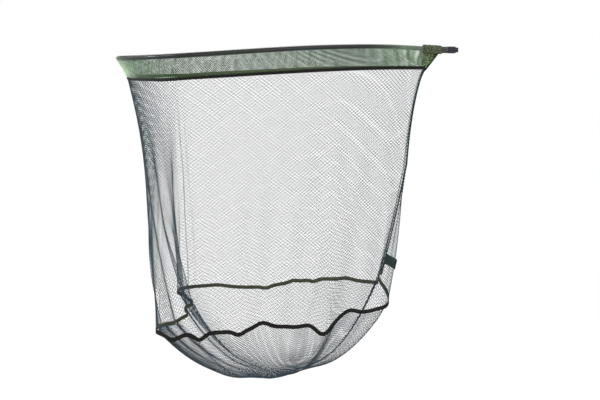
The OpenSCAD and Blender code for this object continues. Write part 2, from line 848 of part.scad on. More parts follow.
// A bare tab sewn to the handle seam's tape just above the base seam
module label_tab() {
    share = 0.9;
    half_share = tab_h / 2 / wall_h;
    top = seam_line_point(share - half_share);
    foot = seam_line_point(share + half_share);
    off = tape_t / 2 + cloth_gap;
    color("#2f4034") translate([0, tab_t / 2, 0]) rotate([90, 0, 0]) linear_extrude(tab_t) polygon([
        [top.x + off, top.z],
        [foot.x + off, foot.z],
        [foot.x + off + tab_w, foot.z],
        [top.x + off + tab_w, top.z]
    ]);
}

hoop_tube();
tube_plug_left();
tube_plug_right();
yoke_body();
hoop_set_screws();
handle_socket();
socket_pin();
thrust_washer();
lock_ring();
circlip();
sleeve_left();
sleeve_right();
neck_wrap();
sleeve_binding();
wall_left();
wall_right();
handle_seam();
base_seam();
base_pan();
label_tab();
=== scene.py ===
# %% [markdown]
# # Landing net head
# A landing net is a bag of soft netting on a rigid hoop. This lesson dresses the solid model of
# its head: a bent tube, a moulded yoke with a screw socket, a sleeve of fine mesh over the tube,
# and a deep bag of open netting with a finer, bowl-shaped base. The solids already have the
# right places and sizes, so this file gives them their finishes and makes the soft pieces anew.
# Shapes are worked out in millimetres and turned to metres when a mesh is made.

# %% The solid model
import json
import bpy
import numpy as np
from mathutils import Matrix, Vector


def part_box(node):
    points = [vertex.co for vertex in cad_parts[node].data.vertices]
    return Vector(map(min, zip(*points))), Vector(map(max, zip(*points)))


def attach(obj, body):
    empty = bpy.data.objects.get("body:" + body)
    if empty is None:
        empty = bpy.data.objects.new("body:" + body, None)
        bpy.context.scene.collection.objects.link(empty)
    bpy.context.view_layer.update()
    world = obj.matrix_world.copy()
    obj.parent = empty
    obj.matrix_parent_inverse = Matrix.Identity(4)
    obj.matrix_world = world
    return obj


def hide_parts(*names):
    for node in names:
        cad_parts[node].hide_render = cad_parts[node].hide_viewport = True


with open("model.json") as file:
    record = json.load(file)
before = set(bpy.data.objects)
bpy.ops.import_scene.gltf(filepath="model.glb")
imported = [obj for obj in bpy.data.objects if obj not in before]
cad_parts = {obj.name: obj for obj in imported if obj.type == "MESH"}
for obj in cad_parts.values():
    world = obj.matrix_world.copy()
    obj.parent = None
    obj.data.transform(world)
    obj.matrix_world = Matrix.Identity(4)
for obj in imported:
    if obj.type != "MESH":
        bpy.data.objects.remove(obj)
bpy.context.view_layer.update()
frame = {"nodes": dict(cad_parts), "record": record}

MM = 0.001
HEAD = "head"  # the body that carries all but the lock ring


def box_mm(node):
    """Lowest and highest corner of a solid, in millimetres."""
    low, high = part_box(node)
    return np.array(low) / MM, np.array(high) / MM


solids = frame["nodes"]

# %% [markdown]
# ## Camera
# The net hangs at eye level and is seen from its left side, slightly from above, by a long lens
# from three metres. A long lens keeps the hoop's near and far sides almost the same size, so the
# netting's two layers lie evenly over each other.

# %% Camera
scene = bpy.context.scene
scene.view_settings.view_transform = "Standard"

CAMERA_AT = (-0.380, -3.0, -0.0056)
CAMERA_PITCH_DEG = 6.8
LENS_MM, SENSOR_MM = 74.34, 36.0
FARTHEST_SEEN = 30.0

camera_data = bpy.data.cameras.new("camera")
camera_data.sensor_width, camera_data.lens = SENSOR_MM, LENS_MM
camera_data.clip_end = FARTHEST_SEEN
camera = bpy.data.objects.new("camera", camera_data)
camera.location = CAMERA_AT
camera.rotation_euler = (np.radians(90 - CAMERA_PITCH_DEG), 0.0, 0.0)
scene.collection.objects.link(camera)
scene.camera = camera
print(f"lens {camera_data.lens:.1f} mm, {np.hypot(*CAMERA_AT[1:]):.1f} m away")

# %% [markdown]
# ## Nodes and colours
# Every finish below is a small graph of nodes. One function adds a node and feeds its inputs, so
# that a finish reads as a list of what its surface is made of. Colours are written as sRGB hex
# values, as on a paint card, and one function turns them to the linear light that shaders use.

# %% Adding a node


def linear(hex_colour):
    """An sRGB hex colour as linear RGBA: each channel by the sRGB curve."""
    srgb = np.array([int(hex_colour[i : i + 2], 16) for i in (1, 3, 5)]) / 255
    low, high = srgb / 12.92, ((srgb + 0.055) / 1.055) ** 2.4
    return (*np.where(srgb <= 0.04045, low, high).tolist(), 1.0)


def add(tree, kind, *sources, **settings):
    """Adds one node. Settings name its properties and inputs, and the sources feed the inputs
    in use, in order. An input takes a value, a hex colour, a socket, or another node, by its
    first output in use."""
    node = tree.nodes.new(kind)
    named = {socket.name.lower().replace(" ", "_"): socket for socket in reversed(node.inputs[:])}
    for name, value in settings.items():
        if name not in named:
            setattr(node, name, value)
    pairs = [(named[name], value) for name, value in settings.items() if name in named]
    in_use = [socket for socket in node.inputs if socket.enabled]
    for socket, source in (*zip(in_use, sources), *pairs):
        if isinstance(source, bpy.types.Node):
            source = next(output for output in source.outputs if output.enabled)
        if isinstance(source, bpy.types.NodeSocket):
            tree.links.new(source, socket)
        else:
            socket.default_value = linear(source) if isinstance(source, str) else source
    return node


def blank(name):
    """A new material and its tree, with no nodes in it yet."""
    material = bpy.data.materials.new(name)
    material.use_nodes = True
    material.node_tree.nodes.clear()
    return material, material.node_tree


print("mid grey in linear light:", np.round(linear("#808080")[:3], 3).tolist())

# %% [markdown]
# ## Room and lamps
# Netting shows best against white with no hard shadow, so the net hangs in a white room. The room
# is bright where it is looked at or mirrored, and dimmer as a light, so that the strands keep
# their own dark colour. Three large soft boxes shape the cloth from the front left, the right and
# behind, and a small one catches the tube and the sleeve at the nose.

# %% Room
WHITE = "#FFFFFF"
ROOM_LIGHT = 0.62  # the room's strength as a light, where 1 is how bright it looks

world = bpy.data.worlds.new("room")
world.use_nodes = True
scene.world = world
tree = world.node_tree
tree.nodes.clear()
seen = add(tree, "ShaderNodeLightPath").outputs
looked_at = add(tree, "ShaderNodeMath", seen["Is Camera Ray"], seen["Is Glossy Ray"],
    operation="MAXIMUM")
lit = add(tree, "ShaderNodeBackground", color=WHITE, strength=ROOM_LIGHT)
shown = add(tree, "ShaderNodeBackground", color=WHITE, strength=1.0)
either = add(tree, "ShaderNodeMixShader", looked_at, lit, shown)
add(tree, "ShaderNodeOutputWorld", either)
print("room nodes:", len(tree.nodes))

# %% Lamps


def soft_box(name, at, aim, size, watts):
    """A square area lamp at a place, in metres, turned to face another place."""
    data = bpy.data.lights.new(name, "AREA")
    data.shape, data.size, data.energy = "SQUARE", size, watts
    lamp = bpy.data.objects.new(name, data)
    lamp.location = at
    lamp.rotation_euler = (Vector(aim) - Vector(at)).to_track_quat("-Z", "Y").to_euler()
    scene.collection.objects.link(lamp)
    print(f"{name} lamp {size} m wide, {watts} W")


NET_MIDDLE, NET_NOSE = (-0.40, 0.0, -0.35), (-0.8, 0.0, 0.0)
soft_box("key", (-2.0, -2.0, 1.5), NET_MIDDLE, 1.4, 38)
soft_box("fill", (1.6, -1.8, 0.6), NET_MIDDLE, 1.6, 16)
soft_box("back", (-0.2, 2.4, 1.6), NET_MIDDLE, 1.8, 22)
soft_box("nose", (-1.65, -0.4, 0.3), NET_NOSE, 0.4, 9)

# %% [markdown]
# ## Floor
# The floor is white studio board. Real board would look grey beside the room and draw a horizon
# behind the netting. So the camera sees it mostly as pure white, with a share of its true shading
# left near the net, where the soft shadow falls, and with none far away.

# %% Floor
FLOOR_Z, FLOOR_HALF = -1.02, 9.0
FLOOR_SHADOW = 0.3  # share of the floor's true shading that the camera sees, the rest is white
FLOOR_LIFT = 1.1  # strength of that white near the net, which makes up for the shading
FADE_FROM, FADE_TO = 1.2, 3.0  # metres from the origin between which the shading fades out


def studio_board():
    """White studio board: plain diffuse paint, mixed towards pure white by what the camera sees
    of it and by how far from the net it lies."""
    material, tree = blank("white studio board")
    seen = add(tree, "ShaderNodeLightPath").outputs["Is Camera Ray"]
    place = add(tree, "ShaderNodeTexCoord").outputs["Object"]
    away = add(tree, "ShaderNodeVectorMath", place, operation="LENGTH")
    share, strength = (add(tree, "ShaderNodeMapRange", away, from_min=FADE_FROM,
        from_max=FADE_TO, to_min=near, to_max=1.0) for near in (1 - FLOOR_SHADOW, FLOOR_LIFT))
    amount = add(tree, "ShaderNodeMath", seen, share, operation="MULTIPLY")
    paint = add(tree, "ShaderNodeBsdfDiffuse", color="#F4F4F2")
    white = add(tree, "ShaderNodeEmission", color=WHITE, strength=strength)
    mix = add(tree, "ShaderNodeMixShader", amount, paint, white)
    add(tree, "ShaderNodeOutputMaterial", mix)
    return material


floor_mesh = bpy.data.meshes.new("floor")
corners = np.array([[-1, -1], [1, -1], [1, 1], [-1, 1]]) * FLOOR_HALF
floor_mesh.from_pydata([(x, y, FLOOR_Z) for x, y in corners], [], [(0, 1, 2, 3)])
floor = bpy.data.objects.new("floor", floor_mesh)
floor_mesh.materials.append(studio_board())
scene.collection.objects.link(floor)
print(f"floor {2 * FLOOR_HALF:.0f} m wide, {-FLOOR_Z:.2f} m below the handle's axis")

# %% [markdown]
# ## The shape of the net
# The hoop is a spoon seen from above: half of it is four arcs that run into each other, round
# the nose, the front corner, the long bowed side and the neck. The binding under the sleeve and
# the seam round the base are the same kind of outline, so one function draws all three, and the
# same share of each outline, from the nose, 0, to the handle end, 1, lies on one line down the
# bag. A share below 0 is on the left side. These are the sizes that the solids were built with,
# and the places come from the solids themselves.

# %% Sizes
hoop_low, hoop_high = box_mm("hoop_tube")
yoke_low, _ = box_mm("yoke_body")
pan_low, _ = box_mm("base_pan")
seam_low, seam_high = box_mm("base_seam")

TUBE_R = 5.0
TUBE_Y = 9.0  # each tube end lies this far from the middle plane
SEAT_DEPTH, EXIT_TILT_DEG, LEAD_IN = 38.0, 4.2, 2.0
NOSE_DROP, NOSE_PITCH_DEG = 20.0, -1.0
FRONT_R, CORNER_R, SIDE_R, NECK_R = 420.0, 95.0, 1400.0, 120.0
YOKE_WALL, TUBE_FIT = 3.0, 0.15
SEAM_TAPE_H, SEAM_TAPE_T = 9.6, 2.0
BASE_END_X = -146.0  # where the base seam would end at the handle if no pleat pulled it in

tilt_sine = np.sin(np.radians(EXIT_TILT_DEG))
yoke_face_x = yoke_low[0] + (TUBE_R + TUBE_FIT + YOKE_WALL) * tilt_sine
start_x = yoke_face_x - LEAD_IN
nose_x = hoop_low[0] + TUBE_R
half_width = hoop_high[1] - TUBE_R
base_nose_x = seam_low[0] + SEAM_TAPE_T / 2
base_half_width = seam_high[1] - SEAM_TAPE_T / 2
bag_depth = -pan_low[2]
print(f"hoop {start_x - nose_x:.0f} x {2 * half_width:.0f} mm, bag {bag_depth:.0f} mm deep")

# %% Outlines
ARC_SHARES = np.array([0, 6, 13, 27, 32]) / 32  # where each arc of a half outline starts


def together(*parts):
    """Arrays put side by side as points, one array for each number of a point."""
    return np.stack(np.broadcast_arrays(*parts), -1)


def half_outline(share, nose, half_w, front_r, corner_r, side_r, end_at, end_r, end_deg):
    """Points at these shares of half a spoon outline. The corner's circle touches the front's
    from inside, and the side's circle touches the corner's and the end's. A negative end radius
    bends the other way. Each point is its arc's centre plus the radius at an even angle."""
    front = np.array([nose + front_r, 0.0])
    reach_y = half_w - corner_r
    corner = np.array([front[0] - np.sqrt((front_r - corner_r) ** 2 - reach_y**2), reach_y])
    end = np.array(end_at, float)
    gap = end - corner
    span = np.hypot(*gap)
    near, far = side_r - corner_r, side_r - end_r
    foot = (near**2 - far**2 + span**2) / (2 * span)
    ahead = gap / span
    side = corner + foot * ahead + np.sqrt(near**2 - foot**2) * np.array([ahead[1], -ahead[0]])

    def bearing(to, centre):
        """Angle of the way from one centre to another."""
        return np.arctan2(to[1] - centre[1], to[0] - centre[0])

    turns = np.array([np.pi, bearing(corner, front), bearing(corner, side), bearing(end, side),
        np.radians(end_deg)])
    arc = np.clip(np.searchsorted(ARC_SHARES, share, "right") - 1, 0, 3)
    inside = (share - ARC_SHARES[arc]) / np.diff(ARC_SHARES)[arc]
    angle = turns[arc] + inside * np.diff(turns)[arc]
    radius = np.array([front_r, corner_r, side_r, end_r])[arc]
    centre = np.array([front, corner, side, end])[arc]
    return centre + radius[..., None] * together(np.cos(angle), np.sin(angle))


def on_side(share, plan, z):
    """A plan outline and its heights as points, mirrored where the share is negative."""
    side = np.where(share < 0, -1.0, 1.0)
    return together(plan[..., 0], plan[..., 1] * side, z)


print("each arc's share of a half outline:", np.diff(ARC_SHARES).tolist())

# %% The tube's line


def hoop_z(x):
    """Height of the hoop's centre line: a cubic from the yoke's upward tilt to the low nose."""
    run = start_x - nose_x
    v = np.maximum(0, (start_x - x) / run)
    tilt = np.tan(np.radians(EXIT_TILT_DEG))
    z0 = SEAT_DEPTH * tilt_sine + (yoke_face_x - start_x) * tilt
    rise, fall = run * tilt, run * np.tan(np.radians(NOSE_PITCH_DEG))
    return (z0 * (2 * v**3 - 3 * v**2 + 1) + rise * (v**3 - 2 * v**2 + v)
        - NOSE_DROP * (3 * v**2 - 2 * v**3) + fall * (v**3 - v**2))


def rim(share):
    """The tube's centre line at signed shares."""
    plan = half_outline(np.abs(share), nose_x, half_width, FRONT_R, CORNER_R, SIDE_R,
        (start_x, TUBE_Y + NECK_R), -NECK_R, 90)
    return on_side(share, plan, hoop_z(plan[..., 0]))


print("rim from nose to yoke:", np.round(rim(np.array([0, 0.5, 1])), 0).tolist())

# %% The binding's line
SLEEVE_H, SLEEVE_H_NOSE, SLEEVE_LEAN = 50.0, 44.0, 20.0
HEM_TIP_RUN, HEM_TIP_R = 4.0, 8.0
NOSE_SHARE = 0.25  # share of the outline over which the nose differs from the sides


def hem(share):
    """The middle of the binding at signed shares, a sleeve's height below the tube."""
    u = np.abs(share)
    plan = half_outline(u, nose_x + SLEEVE_LEAN, half_width - SLEEVE_LEAN,
        FRONT_R - SLEEVE_LEAN, CORNER_R - SLEEVE_LEAN / 2, SIDE_R,
        (yoke_face_x + HEM_TIP_RUN - HEM_TIP_R, 0.0), HEM_TIP_R, 0)
    drop = SLEEVE_H_NOSE + (SLEEVE_H - SLEEVE_H_NOSE) * np.minimum(1, u / NOSE_SHARE)
    return on_side(share, plan, rim(share)[..., 2] - drop)


print("binding from nose to yoke:", np.round(hem(np.array([0, 0.5, 1])), 0).tolist())

# %% [markdown]
# ## How the bag hangs
# Cloth hung from a hoop is never even. The bag's left side sags a little and its seam dips in
# tucks, where the netting was cut fuller than the tape. The right side is drawn up towards the
# handle, and the far half of the front is pulled inwards in one broad fold. At the handle end
# the tape's knot of gathers drags the seam down, and the right side runs straight into it. A few
# smooth steps and bell-shaped dips say this more plainly than a long simulation would, and they
# keep the seam where the solid has it. Every fold fades out upwards, where the binding holds.

# %% Sags, tucks and folds of the seam
# Along the seam: place in x, width and height, in millimetres
LEFT_TUCKS = [(-668, 20, -12), (-607, 15, -14), (-519, 15, -9), (-466, 22, 13), (-385, 26, -6),
    (-325, 25, -33), (-262, 22, 12)]
RIGHT_TUCKS = [(-600, 30, 4), (-470, 16, -5), (-398, 14, 4), (-345, 12, -5), (-262, 20, 5)]
LEFT_SAG, LEFT_PULL = -8.0, 7.0
RIGHT_RISE, RISE_X = 34.0, (-530, -290)  # the right side's rise, and where in x it happens
SIDE_CHANGE_Y = (-45, 25)  # where the left side's sag gives way to the right side's rise
FRONT_END = (0.22, 0.30)  # shares of the outline between which the front's fold ends
FRONT_FOLD, FOLD_IN_Y, FOLD_OUT_Y = 47.0, (-180, 70), (135, 215)
FRONT_RIPPLE, RIPPLE_Y, RIPPLE_LENGTH = 8.0, 12, 78


def smooth(value, low, high):
    """0 below low, 1 above high, and 3v^2 - 2v^3 between them."""
    v = np.clip((value - low) / (high - low), 0, 1)
    return v * v * (3 - 2 * v)


def bells(x, bumps):
    """Sum of bell curves: each bump is its place, its width and its height."""
    return sum(height * np.exp(-(((x - place) / width) ** 2)) for place, width, height in bumps)


def seam_drape(x, y, u):
    """How far the hung seam departs from the plain one at plan places, as (x, z) shifts: the
    left side's sag and tucks, the right side's rise and tucks, and the front's rippled fold."""
    left = 1 - smooth(y, *SIDE_CHANGE_Y)
    front = 1 - smooth(u, *FRONT_END)
    lift = left * (LEFT_SAG + bells(x, LEFT_TUCKS))
    lift = lift + (1 - left) * (RIGHT_RISE * smooth(x, *RISE_X) + bells(x, RIGHT_TUCKS))
    fold = smooth(y, *FOLD_IN_Y) * (1 - smooth(y, *FOLD_OUT_Y))
    ripple = FRONT_RIPPLE * np.sin(2 * np.pi * (y - RIPPLE_Y) / RIPPLE_LENGTH)
    pull = front * fold * (FRONT_FOLD + ripple)
    return pull - LEFT_PULL * left * front, lift


print("front pulled in by", np.round(seam_drape(-700.0, 100.0, 0.1)[0]), "mm")

# %% The hung wall
SEAM_DEPTH, SEAM_SAG_NOSE, SEAM_RISE = 630.0, 30.0, 33.0
SEAM_PLEAT, PLEAT_START = 40.0, 0.45
BASE_FRONT_R, BASE_CORNER_R, BASE_SIDE_R, BASE_TIP_R = 3000.0, 58.0, 900.0, 45.0
END_DROP, END_DROP_W = 20.0, 15.0
HANDLE_DRAW = 0.42  # how much sooner the wall draws in at the handle end than at the nose
WALL_WAVE, WAVE_LOSS = 0.09, 0.04  # its slow wave at the nose, and what the handle end lacks
PULL_POWER, LIFT_POWER = 1.2, 2  # how the seam's shifts die away up the wall


def base_plan(u):
    """The base seam's outline before the pleat pulls it in."""
    return half_outline(u, base_nose_x, base_half_width, BASE_FRONT_R, BASE_CORNER_R,
        BASE_SIDE_R, (BASE_END_X - BASE_TIP_R, 0.0), BASE_TIP_R, 0)


def pleat_depth(t):
    """0 down to where the pleat starts, and 1 at the base seam."""
    return np.maximum(0, t - PLEAT_START) / (1 - PLEAT_START)


def pleat(y, t, u):
    """How far the handle seam pulls the bag's end in, most at the middle and at the base."""
    return np.where(u < 0.5, 0, SEAM_PLEAT * np.exp(-((2 * y / BASE_TIP_R) ** 2)) * pleat_depth(t))


def wall(share, t):
    """The bag's smooth wall at signed shares of its outline and at depths t, 0 at the binding
    and 1 at the base seam: it draws in as t to a power, with a slow wave, and hangs as it goes."""
    u = np.abs(share)
    side = np.where(share < 0, -1.0, 1.0)
    top, foot = hem(share), base_plan(u)
    end_pull = pleat(foot[..., 1], 1.0, u)
    inwards = t ** (1 - HANDLE_DRAW * u) + (WALL_WAVE - WAVE_LOSS * u) * np.sin(2 * np.pi * t)
    nose_sag = SEAM_SAG_NOSE * np.maximum(0, 1 - u / NOSE_SHARE) ** 2
    foot_z = SEAM_RISE * u**3 - SEAM_DEPTH - nose_sag + end_pull
    x = top[..., 0] + (foot[..., 0] - top[..., 0]) * inwards - pleat(foot[..., 1], t, u)
    y = top[..., 1] + (side * foot[..., 1] - top[..., 1]) * inwards
    z = top[..., 2] + (foot_z - top[..., 2]) * t
    past_knot = foot[..., 0] - end_pull - (BASE_END_X - SEAM_PLEAT)
    x = x - np.where(side > 0, np.maximum(0, past_knot), 0) * pleat_depth(t)
    pull, lift = seam_drape(foot[..., 0], side * foot[..., 1], u)
    lift = lift - bells(foot[..., 1], [(0, END_DROP_W, END_DROP)]) * (u > 0.5)
    return together(x + pull * t**PULL_POWER, y, z + lift * t**LIFT_POWER)


def seam(share):
    """The base seam at signed shares."""
    return wall(share, np.ones_like(share))


print("seam from nose to knot:", np.round(seam(np.array([0, 0.5, 1])), 0).tolist())

# %% [markdown]
# ## From points to a mesh
# Each soft piece is a grid of points: a line of the cloth carried along another. The helpers here
# measure such lines and grids, read them between their points, and join neighbours with faces. A
# whole array of points goes into the mesh at once, which is much quicker than adding corners one
# by one. A mark is a number kept at each point, which a finish can read later.

# %% Lines and grids


def unit(vectors):
    """Vectors of length 1."""
    return vectors / np.linalg.norm(vectors, axis=-1, keepdims=True)


def steps_of(line):
    """Lengths of the steps from point to point, down the first axis."""
    return np.linalg.norm(np.diff(line, axis=0), axis=-1)


def run_of(steps):
    """How far along a line each of its points lies, from the lengths of its steps."""
    return np.append(0, np.cumsum(steps))


def normals_of(grid):
    """Unit normals of a grid of points: the cross product of its two directions."""
    return unit(np.cross(np.gradient(grid, axis=0), np.gradient(grid, axis=1)))


def sample(grid, row, column):
    """A grid read between its points, linearly each way."""
    row = np.clip(row, 0, grid.shape[0] - 1.001)
    column = np.clip(column, 0, grid.shape[1] - 1.001)
    i, j = row.astype(int), column.astype(int)
    a, b = (row - i)[..., None], (column - j)[..., None]
    return ((1 - a) * ((1 - b) * grid[i, j] + b * grid[i, j + 1])
        + a * ((1 - b) * grid[i + 1, j] + b * grid[i + 1, j + 1]))


def grid_faces(rows, columns, wrap_rows=False, wrap_columns=False):
    """Quads between the neighbours of a grid whose points are counted row by row."""
    r = np.arange(rows if wrap_rows else rows - 1)[:, None]
    c = np.arange(columns if wrap_columns else columns - 1)[None, :]
    r2, c2 = (r + 1) % rows, (c + 1) % columns
    quads = together(r * columns + c, r * columns + c2, r2 * columns + c2, r2 * columns + c)
    return quads.reshape(-1, 4)


print(f"binding runs {run_of(steps_of(hem(np.linspace(-1, 1, 999))))[-1]:.0f} mm round")

# %% A piece from points


def new_piece(name, points, faces, smooth_faces=True, uv=None, marks=None):
    """A mesh object at the origin from points in millimetres and arrays of triangles or quads.
    uv gives each point its place on the cloth, and marks names extra numbers for each point."""
    faces = [f for f in faces if len(f)]
    sizes = np.concatenate([np.full(len(f), f.shape[1]) for f in faces])
    corners = np.concatenate([f.ravel() for f in faces]).astype(np.int32)
    mesh = bpy.data.meshes.new(name)
    mesh.vertices.add(len(points))
    mesh.vertices.foreach_set("co", (np.asarray(points) * MM).astype(np.float32).ravel())
    mesh.loops.add(len(corners))
    mesh.loops.foreach_set("vertex_index", corners)
    mesh.polygons.add(len(sizes))
    starts = run_of(sizes)[:-1].astype(np.int32)
    mesh.polygons.foreach_set("loop_start", starts)
    mesh.polygons.foreach_set("use_smooth", np.full(len(sizes), smooth_faces))
    if uv is not None:
        layer = mesh.uv_layers.new(name="OFBake")
        layer.data.foreach_set("uv", np.asarray(uv)[corners].astype(np.float32).ravel())
    for mark, values in (marks or {}).items():
        mesh.attributes.new(mark, "FLOAT", "POINT").data.foreach_set("value", values.ravel())
    mesh.update(calc_edges=True)
    piece = bpy.data.objects.new(name, mesh)
    scene.collection.objects.link(piece)
    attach(piece, HEAD)
    print(f"{name}: {len(points)} points, {len(sizes)} faces")
    return piece


# %% [markdown]
# ## Netting
# Landing net cloth is knitted, not knotted: each mesh is a hexagon of two short uprights and
# four slanting strands. A picture of holes on a sheet would look flat and would close up when
# seen edge on, so here each strand is a real bar of three sides, half a millimetre wide and twice
# as deep, as plied threads lie. Three bars meet in a small triangle. The net is laid out flat in
# cloth millimetres, as the knitting machine makes it, and then wrapped on the hung shape. It is
# cut into panels, because one mesh of so many strands would be too heavy to use. Real meshes are
# finer than these, which are as coarse as they need to be to show.

# %% A flat hexagon net
UPRIGHT_SHARE = 0.16  # of a row's height, the rest is the slant of its strands
TIP, RIGHT, LEFT, EDGE = 0, 1, 2, 3  # the corners of a junction, EDGE on the inner face


def hex_net(width, height, pitch, row_step, strand_w):
    """A flat net over width x height: rows of uprights, each joined by two slanting strands to
    the row below, which is half a pitch aside. An upright has a junction at both ends, where
    three bars share the corners of one triangle. Gives those corners as (x, y), 1 for those on
    the outer face or 0 for the inner edge, the bars' quads and the junctions' triangles, and the
    column of the net that each face belongs to."""
    rows, columns = int(height / row_step) + 1, int(width / pitch) + 1
    upright = UPRIGHT_SHARE * row_step
    r, c = np.meshgrid(np.arange(rows), np.arange(columns), indexing="ij")
    x = (c + 0.5 * (r % 2)) * pitch
    y = r * row_step
    slant = np.array([pitch / 2, row_step - upright])
    sx, sy = slant / np.hypot(*slant)
    half = strand_w / 2
    wide = half * (1 - sy) / sx
    upper = np.array([[0, -half / sx], [half, wide], [-half, wide], [0, 0]])
    lower = upper * [1, -1]
    ends = [together(x, y)[:, :, None] + upper, together(x, y + upright)[:, :, None] + lower]
    corners = np.stack(ends, 2).reshape(-1, 2)
    outer = np.tile([1.0, 1.0, 1.0, 0.0], 2 * rows * columns)

    def corner(row, column, end, which):
        """Number of a corner, counted by row, column, end of the upright (1 is low) and place."""
        return ((row * columns + column) * 2 + end) * 4 + which

    quads, owner = [], []

    def bar(start, end, start_sides, end_sides):
        """Adds the three quads of each bar from one junction to another inside the net."""
        within = (end[0] < rows) & (end[1] >= 0) & (end[1] < columns)
        (left, right, edge), (far_left, far_right, far_edge) = (
            [corner(row[within], column[within], low, which) for which in (*sides, EDGE)]
            for (row, column, low), sides in ((start, start_sides), (end, end_sides)))
        quads.append(together(left, right, far_right, far_left))
        quads.append(together(right, edge, far_edge, far_right))
        quads.append(together(left, far_left, far_edge, edge))
        owner.extend([start[1][within]] * 3)

    r, c = r.ravel(), c.ravel()
    shift = r % 2
    bar((r, c, 0), (r, c, 1), (LEFT, RIGHT), (LEFT, RIGHT))
    bar((r, c, 1), (r + 1, c + shift, 0), (TIP, RIGHT), (LEFT, TIP))
    bar((r, c, 1), (r + 1, c - 1 + shift, 0), (LEFT, TIP), (TIP, RIGHT))
    caps = [together(*(corner(r, c, end, k) for k in order))
        for end, order in ((0, (TIP, RIGHT, LEFT)), (1, (LEFT, RIGHT, TIP)))]
    faces = (np.concatenate(quads), np.concatenate(caps))
    return corners, outer, faces, (np.concatenate(owner), np.tile(c, 2))


_, _, few, _ = hex_net(100, 100, 10, 4, 0.5)
print("a net of 100 x 100 mm has", [len(f) for f in few], "quads and triangles")

# %% Laying and cutting a net


def laid(flat, rows, columns, surface, outward, depth, outer):
    """Points of a flat net on a surface: each keeps its cloth place and stands half the
    strand's depth out from the surface, or in from it at the bar's inner edge."""
    place = sample(surface, rows, columns)
    across = unit(sample(outward, rows, columns))
    return place + across * (depth * (outer - 0.5))[:, None]


def kept(points, *faces):
    """Only the points that these faces use, and the faces counted anew."""
    used = np.unique(np.concatenate([f.ravel() for f in faces]))
    place = np.zeros(len(points), np.int64)
    place[used] = np.arange(len(used))
    return used, [place[f] for f in faces]


def panels(names, points, uv, faces, columns):
    """Pieces of a net, cut at even shares of its columns, each of the faces whose own columns
    lie within it."""
    pieces = []
    width = (max(columns[0]) + 1) / len(names)
    for k, name in enumerate(names):
        used, mine = kept(points, *(f[own // width == k] for f, own in zip(faces, columns)))
        pieces.append(new_piece(name, points[used], mine, smooth_faces=False, uv=uv[used]))
    return pieces


print("points kept:", kept(np.zeros((7, 3)), np.array([[0, 2, 3, 6]]))[0].tolist())

# %% [markdown]
# ## Wall
# The wall is one long band of netting, sewn to the binding above and to the seam's tape below.
# Wet net is limp, so the band hangs in oblique folds between the two, and it is soft enough to
# wave a little everywhere. The folds are pushed out of the smooth hung wall along its normals. A
# cloth simulation would give folds too, but not these ones, and not the same ones each time.

# %% The wall as cloth
GRID_ROWS, GRID_COLUMNS = 181, 1001

# Folds in the wall: share at the binding, share at the seam, width, depth in mm, start and end t
WALL_FOLDS = [(-0.30, -0.225, 0.006, -7, 0.25, 0.75), (0.185, 0.285, 0.011, -12, 0.05, 0.5),
    (0.225, 0.345, 0.009, -10, 0.05, 0.55), (0.02, 0.135, 0.016, 9, 0.3, 0.8),
    (-0.07, 0.06, 0.013, -8, 0.35, 0.85), (-0.13, -0.08, 0.012, 7, 0.4, 0.8),
    (0.93, 0.90, 0.010, -6, 0.3, 0.8), (-0.93, -0.91, 0.010, -6, 0.3, 0.8)]
SOFT_DEPTH, SOFT_SHARE, SOFT_START = 1.6, 0.6, (0.1, 0.6)
SOFT_WAVES = ((9, 1.3), (17, -1))  # of each soft wave, its count round the bag and its slant


def wall_folds(share, t):
    """Depth of the wall's folds: ridges and hollows that run obliquely down the cloth, as bell
    curves about slanting lines, and two soft waves all round."""
    total = 0.0
    for top, foot, width, depth, start, end in WALL_FOLDS:
        centre = top + (foot - top) * t
        total = total + depth * smooth(t, start, end) * np.exp(-(((share - centre) / width) ** 2))
    first, second = (np.sin(2 * np.pi * (share * count + t * slant)) for count, slant in SOFT_WAVES)
    return total + SOFT_DEPTH * (first + SOFT_SHARE * second) * smooth(t, *SOFT_START)


def wall_cloth():
    """The hung wall as a grid that is even on the cloth, its outward directions, and the
    cloth's width and height in millimetres."""
    share = np.linspace(-1, 1, GRID_COLUMNS)
    t = np.linspace(0, 1, GRID_ROWS)
    plain = wall(share[None, :], t[:, None])
    along = run_of(steps_of(plain[GRID_ROWS // 2]))
    down = run_of(steps_of(plain).mean(axis=1))
    share = np.interp(np.linspace(0, along[-1], GRID_COLUMNS), along, share)
    t = np.interp(np.linspace(0, down[-1], GRID_ROWS), down, t)
    plain = wall(share[None, :], t[:, None])
    folded = plain - normals_of(plain) * wall_folds(share[None, :], t[:, None])[..., None]
    return folded, -normals_of(folded), along[-1], down[-1]


wall_grid, wall_outward, wall_width, wall_height = wall_cloth()
print(f"wall cloth {wall_width:.0f} x {wall_height:.0f} mm")

# %% The wall's netting
STRAND_W, STRAND_DEPTH = 0.5, 1.0
WALL_PITCH, WALL_ROW = 11.0, 4.1
WALL_PANELS = {"net_left_rear": "wall_left", "net_left_front": "wall_left",
    "net_right_front": "wall_right", "net_right_rear": "wall_right"}  # and the solids they replace

flat, outer, faces, columns = hex_net(wall_width, wall_height, WALL_PITCH, WALL_ROW, STRAND_W)
share = flat / [wall_width, wall_height]
points = laid(flat, share[:, 1] * (GRID_ROWS - 1), share[:, 0] * (GRID_COLUMNS - 1), wall_grid,
    wall_outward, STRAND_DEPTH, outer)
walls = panels(WALL_PANELS, points, share, faces, columns)

# %% [markdown]
# ## Base
# The base carries the fish, so its netting is finer and softer. It is cut as one flat round and
# gathered into the seam's tape, and it hangs from there as a deep bowl. The same hexagon net is
# laid out flat, and each point goes to its own bearing from the middle and to its own share of
# the way along the bowl, so the meshes stay even where the cloth curves up to the seam.

